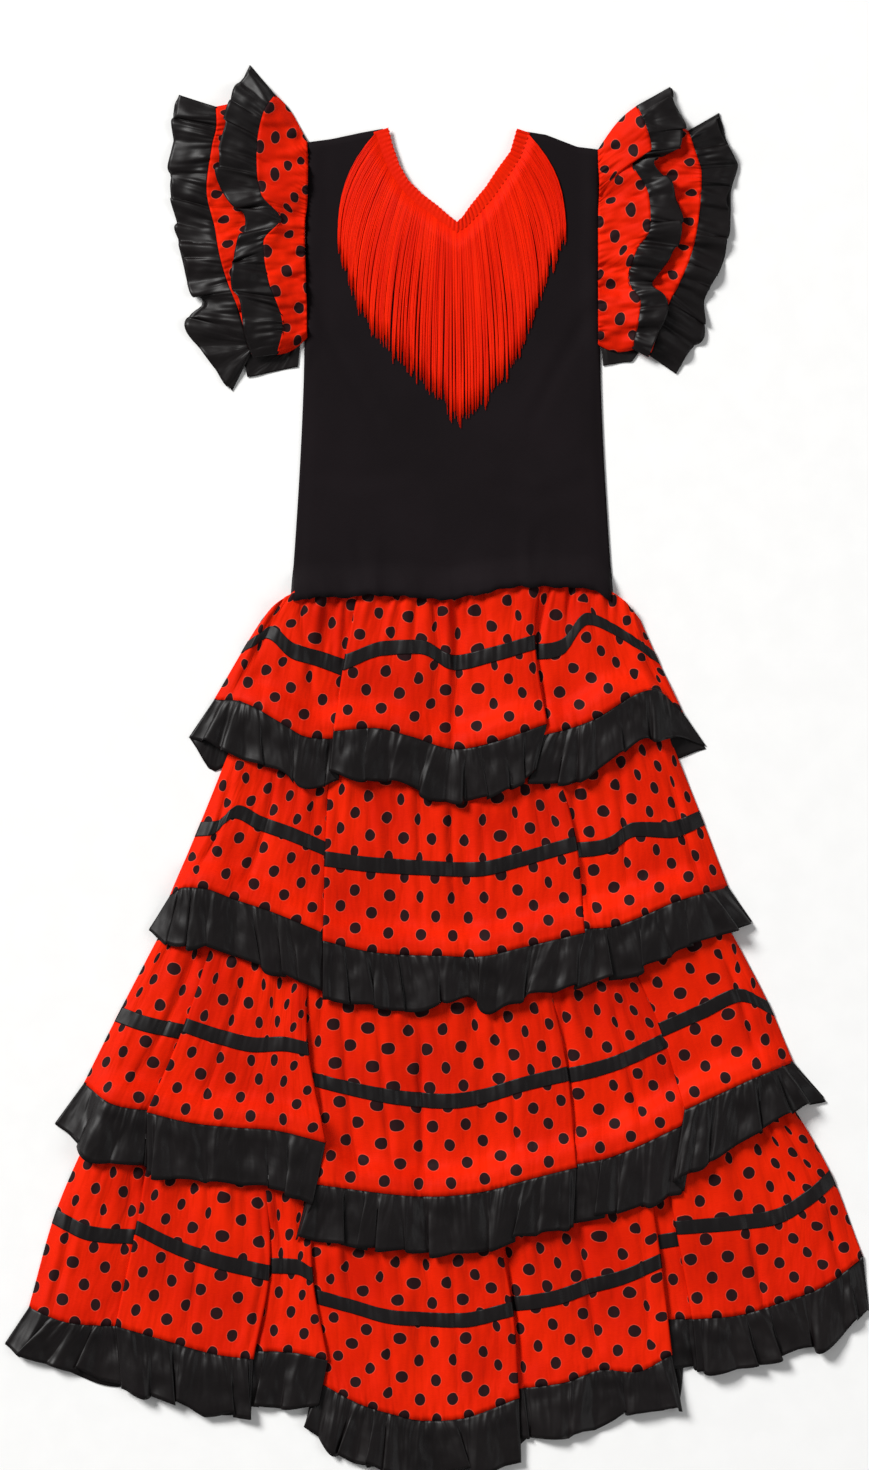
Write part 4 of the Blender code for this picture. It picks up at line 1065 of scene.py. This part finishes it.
underarm = {
    "Left": [((-146, 426), (-190, 393)), ((-136, 430), (-139, 403))],
    "Right": [((178, 424), (196, 409)), ((164, 424), (166, 404))],
}
sleeveCut = {"step": 1.3, "rows": (12, 20), "loft": 1.6, "cuffUnder": 0.15, "relief": 0.95,
             "fullness": 1.6, "bulge": 4.5, "puffed": 1.12, "tallest": 11.0,
             "roll": 14}
# gathers of a sleeve's band, the share of it that they reach, and its uneven fall
puffFolds = {
    "first": {"spacing": (4, 9), "height": (1.0, 3.0), "width": (1.5, 2.8)},
    "last": {"spacing": (5, 10), "height": (0.8, 2.6), "width": (1.5, 2.8)},
    "share": (0.9, 0.7),
    "uneven": [(4.2, 0.7, 1.7, 18), (2.2, 0.8, 1.5, 8)],
}
sleeveRuffle = {"pitch": (14, 34), "height": (3.0, 6.2), "lean": (3, 10), "plateau": 0.5,
                "tilt": 2.8, "crumple": 2.2, "recede": 4.4, "pressed": 8}


def sleeveLines(table):
    values = np.array([[*arm, *seam, *upper, *cuff, *lower, rise]
                       for rise, arm, seam, upper, cuff, lower in table], float)
    places = lengthAlong(values[:, 2:4])
    at = np.linspace(0, places[-1], int(places[-1] / sleeveCut["step"]))
    line = smoothLine(places, values, at)
    return at, [line[:, k:k + 2] for k in (0, 2, 4, 6, 8)], line[:, 10]


def bandPoints(first, last, rows):
    down = np.linspace(0, 1, rows)[:, None, None]
    flat = first[None] * (1 - down) + last[None] * down
    return np.concatenate([flat, np.zeros((*flat.shape[:2], 1))], axis=-1)


def makePuff(names, first, last, at, rise, profile, front, seed, phase):
    # a dotted band of the sleeve, gathered at both of its edges
    rows = sleeveCut["rows"][front]
    points = bandPoints(first, last, rows)
    down = np.linspace(0, 1, rows)[:, None]
    long = float(np.linalg.norm(last - first, axis=1).mean())
    resting = restingMap()
    floor = heightUnder(resting, points)
    sides = np.minimum(at, at[-1] - at)[None, :]
    roll = ease(sides / sleeveCut["roll"])
    u = np.broadcast_to(at[None, :], floor.shape)
    v = np.broadcast_to(down * long, floor.shape)
    reach = [(8, share * long) for share in puffFolds["share"]]
    relief = gathers(u, v, 0, seed, reach=reach[0], **puffFolds["first"])
    relief += gathers(u, v, long, seed + 1, reach=reach[1], **puffFolds["last"])
    for k, (depth, wide, tall, cell) in enumerate(puffFolds["uneven"]):
        relief += depth * softNoise(points[..., 0] * wide, points[..., 1] * tall, cell,
                                    seed + 2 + k)
    # the puff bulges past its two ends
    away = sleeveCut["bulge"] * np.sin(np.pi * down) * (len(profile) > 3)
    for edge, inner in ((0, 6), (-1, -7)):
        push = unit(points[:, edge, :2] - points[:, inner, :2])
        near = np.exp(-(np.abs(at - at[edge]) / 9) ** 2)
        points[..., :2] += push[:, None] * (away * near[None, :])[..., None]
    if front:
        bulge = np.interp(down[:, 0], np.linspace(0, 1, len(profile)), profile)[:, None]
        free = (sleeveCut["loft"] + sleeveCut["relief"] * rise[None, :] * bulge + relief) * roll
        points[..., 2] = floor + withinRoom(np.maximum(free, 0), floor, sleeveCut["tallest"])
        points[..., 2] = downAtSides(points[..., 2], sides, tierCut["pressed"],
                                     np.maximum(floor * 0.6, 0.7))
    else:
        points[..., 2] = floor + 0.4 * np.maximum(relief, 0) * roll
    calm = meanRows(relief, 4)
    valley = np.clip((calm - relief) / 1.2, 0, 1) * 0.8
    puffed = sleeveCut["puffed"] if front and len(profile) > 3 else 1.0
    uv = clothPlaces(points, cutWidth(points, sleeveCut["fullness"], puffed), valley, phase)
    uv[..., 1] *= puffed
    piece = makeShell(names[0], points, "dottedCloth", uv, tierCut["wall"],
                      threadLean(points, uv))
    declare(piece, names[1])
    return points[-1], resting


def makeSleeveRuffle(names, root, hem, at, front, seed, resting):
    outward = unit(hem - root[:, :2])
    start = root.copy()
    start[:, :2] -= outward * ruffleCut["tuckUp"] * front
    start[:, 2] -= (ruffleCut["wall"] + 0.15) * front
    end = np.concatenate([hem, heightUnder(resting, hem)[:, None]], axis=1)
    plain = np.ones(len(at))
    points = rufflePoints(start, end, at, plain, resting, sleeveRuffle if front else ruffleBack,
                          seed)
    floor = heightUnder(resting, points)
    points[..., 2] = downAtSides(points[..., 2], np.minimum(at, at[-1] - at)[None, :],
                                 sleeveRuffle["pressed"], np.maximum(floor, 0.5 * front))
    uv = clothPlaces(points, cutWidth(points, ruffleCut["fullness"]))
    piece = makeShell(names[0], points, "blackSatin", uv, ruffleCut["wall"])
    declare(piece, names[1])


# the puff's fall between its two edges, and where the dots of the two bands lie
sleeveBands = {"puff": (0.2, 0.7, 1.0, 0.9, 0.5), "cuff": (0.0, 0.3, 0.5), "back": (0, 0),
               "puffDots": (2, 14), "cuffDots": (5, 9), "turnAt": 0.86, "turnPoints": 150}


def makeSleeve(which, front):
    at, (arm, seam, upper, cuffSeam, lower), rise = sleeveLines(sleeveTables[which])
    seed = (300 if which == "Left" else 400) + (0 if front else 40)
    side = "Front" if front else "Back"

    def names(part, node):
        return f"{part}{which}{side}", f"sleeve_{which.lower()}_{node}_{side.lower()}"

    cuffNames, puffNames = names("cuff", "cuff"), names("puff", "puff")
    lowerNames = names("lowerRuffle", "lower_ruffle")
    upperNames = names("upperRuffle", "upper_ruffle")
    cuffTop = seam + (cuffSeam - seam) * sleeveCut["cuffUnder"]
    if front:
        edge, under = makePuff(cuffNames, cuffTop, cuffSeam, at, rise, sleeveBands["cuff"], True,
                               seed, sleeveBands["cuffDots"])
        makeSleeveRuffle(lowerNames, edge, lower, at, True, seed + 5, under)
        edge, under = makePuff(puffNames, arm, seam, at, rise, sleeveBands["puff"], True,
                               seed + 10, sleeveBands["puffDots"])
        makeSleeveRuffle(upperNames, edge, upper, at, True, seed + 15, under)
        return
    low = np.concatenate([cuffSeam, np.zeros((len(at), 1))], axis=1)
    makeSleeveRuffle(lowerNames, low, lower, at, False, seed + 5, restingMap())
    # the turned end of the upper ruffle shows below the puff
    shown = at < at[-1] * sleeveBands["turnAt"]
    turned = np.array(underarm[which], float)
    roots = np.concatenate([seam[shown], turned[:, 0]])
    hems = np.concatenate([upper[shown], turned[:, 1]])
    places = lengthAlong(hems)
    spots = np.linspace(0, places[-1], sleeveBands["turnPoints"])
    roots, hems = (np.stack([np.interp(spots, places, line[:, k]) for k in (0, 1)], axis=1)
                   for line in (roots, hems))
    high = np.concatenate([roots, np.zeros((len(spots), 1))], axis=1)
    makeSleeveRuffle(upperNames, high, hems, spots, False, seed + 15, restingMap())
    makePuff(cuffNames, cuffTop, cuffSeam, at, rise, sleeveBands["back"], False, seed,
             sleeveBands["cuffDots"])
    makePuff(puffNames, arm, seam, at, rise, sleeveBands["back"], False, seed + 10,
             sleeveBands["puffDots"])


# The fringe: a header tape round the neck and strands that fan out below it.
fringe = {
    "tapeTop": [(-51, 641), (-47, 625), (-39, 603), (-30, 588), (-16, 574), (0, 562),
                (12, 552), (20, 546), (26, 551), (35, 563), (50, 581), (62, 599), (75, 617),
                (82, 640)],
    "tapeRoot": [(-76, 634), (-70, 616), (-59, 594), (-45, 574), (-28, 557), (-8, 543),
                 (8, 534), (20, 528), (33, 533), (47, 545), (64, 564), (78, 583), (92, 606),
                 (104, 633)],
    "tips": [(-99, 527), (-87, 490), (-77, 458), (-57, 428), (-14, 388), (22, 347),
             (50, 372), (76, 405), (95, 452), (113, 500), (128, 534)],
    "strands": 1000, "steps": 9, "width": (1.0, 1.6), "thick": 0.5, "cluster": 3.1,
    "pull": 0.66, "start": 0.34, "layers": (0.1, 0.4, 0.7, 1.0), "taper": 0.55,
    "tape": (-0.12, 0.5), "tapeRows": 12, "tapeColumns": 420, "tapeThick": 0.7,
    "tapeWidth": 18, "ribs": 4.7,
}


def readLine(points, share):
    # a point of a line, at a share of its length
    points = np.array(points, float)
    place = lengthAlong(points)
    return np.stack([np.interp(share, place / place[-1], points[:, k]) for k in (0, 1)], axis=-1)


def strandAlong(path, width, thick, offset):
    # a four-sided strand along a path: its corners, faces and cloth coordinates
    count = len(path)
    ahead = np.gradient(path, axis=0)
    sideways = unit(np.stack([ahead[:, 1], -ahead[:, 0], np.zeros(count)], axis=1))
    taper = np.ones(count)
    taper[-1] = fringe["taper"]
    half = (0.5 * width * taper)[:, None, None]
    rise = (thick * taper)[:, None, None]
    outline = np.array([(-1, 0.0), (-0.2, 1.0), (0.9, 0.35), (0.2, -0.3)])
    corners = (path[:, None, :] + sideways[:, None, :] * outline[None, :, :1] * half
               + np.array((0, 0, 1.0)) * outline[None, :, 1:] * rise)
    run = lengthAlong(path)
    flat = np.stack([offset + outline[None, :, 0] * half[..., 0], np.repeat(run[:, None], 4, 1)],
                    axis=-1)
    ring = np.arange(4 * count).reshape(count, 4)
    beside = np.roll(ring, -1, axis=1)
    faces = np.stack([ring[:-1], beside[:-1], beside[1:], ring[1:]], axis=-1).reshape(-1, 4)
    ends = np.array([ring[0, ::-1], ring[-1]])
    return corners.reshape(-1, 3), np.concatenate([faces, ends]), flat.reshape(-1, 2)


def makeFringe(resting):
    chance = random.Random(5)
    corners, faces, uvs, used = [], [], [], 0
    down = np.linspace(0, 1, fringe["steps"])
    tips = np.array(fringe["tips"], float)
    shares = np.sort([(k + chance.random()) / fringe["strands"] for k in range(fringe["strands"])])
    start = fringe["start"]
    tape = (readLine(fringe["tapeTop"], shares) * (1 - start)
            + readLine(fringe["tapeRoot"], shares) * start)
    low, high = tape[:, 0].min(), tape[:, 0].max()
    for strand, root in enumerate(tape):
        across = (root[0] - low) / (high - low)
        tipX = tips[0, 0] + (tips[-1, 0] - tips[0, 0]) * across
        tipY = np.interp(tipX, tips[:, 0], tips[:, 1])
        group = math.floor(tipX / fringe["cluster"])
        nudge = random.Random(group)
        middle = (group + 0.5 + nudge.uniform(-0.35, 0.35)) * fringe["cluster"]
        tipX += (middle - tipX) * fringe["pull"] * chance.uniform(0.6, 1.2)
        tipY += nudge.uniform(-5, 5) + chance.uniform(-5, 12)
        travel = 1 - (1 - down) ** (2.0 + 0.5 * (2 * across - 1) ** 4)
        x = root[0] + (tipX - root[0]) * travel
        x += chance.uniform(-0.9, 0.9) * np.sin(
            np.pi * down * chance.uniform(0.7, 1.6) + chance.uniform(0, 6)) * down
        y = root[1] + (tipY - root[1]) * down
        layer = chance.choice(fringe["layers"])
        z = readMap(resting, x, y) + 0.5 + layer * ease(down / 0.1) * (1 - 0.5 * down)
        strandParts = strandAlong(np.stack([x, y, z], axis=1), chance.uniform(*fringe["width"]),
                                  fringe["thick"], 5.0 * strand)
        corners.append(strandParts[0])
        faces.append(strandParts[1] + used)
        uvs.append(strandParts[2])
        used += len(strandParts[0])
    # the tape: its threads go over from edge to edge, in loops past the neck's edge
    share = np.linspace(0, 1, fringe["tapeColumns"])
    top, root = readLine(fringe["tapeTop"], share), readLine(fringe["tapeRoot"], share)
    run = lengthAlong(top)
    loops = 0.5 + 0.5 * np.sin(2 * np.pi * run / fringe["ribs"])
    right = ease((share - 0.45) / 0.1)      # the threads are looser on the right side
    across = np.linspace(*fringe["tape"], fringe["tapeRows"])
    rows = []
    for place, a in enumerate(across):
        loose = loops * (0.035 if place == 0 else 0)
        flat = top + (root - top) * (a + loose)[:, None]
        edge = np.exp(-((a + 0.1) / 0.1) ** 2)
        rib = (0.15 + 1.05 * right) * np.exp(-((a - 0.1) / 0.35) ** 2) + 0.5 * edge
        lift = 0.9 - 1.4 * max(a, 0)
        z = heightUnder(resting, flat) + lift + rib * loops
        rows.append(np.concatenate([flat, z[:, None]], axis=1))
    band = np.array(rows)
    lifted = band + facing(band) * fringe["tapeThick"]
    corners += [lifted.reshape(-1, 3), band.reshape(-1, 3)]
    flat = np.stack(np.broadcast_arrays(run[None, :], across[:, None] * fringe["tapeWidth"]),
                    axis=-1)
    uvs += [flat.reshape(-1, 2)] * 2
    faces.append(shellFaces(*band.shape[:2], used))
    piece = makeMesh("neckFringe", np.concatenate(corners), np.concatenate(faces),
                     np.concatenate(uvs), "fringeYarn")
    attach(piece, "root")
    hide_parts("neck_fringe")
    return piece


# The dress is laid from the table up: the back first, then the front from the hem upwards.
bodiceBack, cut = makeBodice(False)
declare(bodiceBack, "bodice_back")
for number in (1, 2, 3, 4):
    back = tierSurface(number, False)
    back["last"] = back["surface"](np.ones((1, len(back["columns"]))))[0][0]
    makeRuffle(number, False, back)
    makeRibbon(number, False, back)
    makeTier(number, False)
print("back of the skirt laid")
for which in ("Left", "Right"):
    makeSleeve(which, False)
for number in (4, 3, 2, 1):
    tier = makeTier(number, True)
    makeRuffle(number, True, tier)
    makeRibbon(number, True, tier)
    print("tier", number, "laid")
bodiceFront, cut = makeBodice(True)
for which in ("Left", "Right"):
    makeSleeve(which, True)
    print("sleeve", which, "laid")
neckFringe = makeFringe(restingMap())
declare(bodiceFront, "bodice_front")
print("bodice and fringe laid")
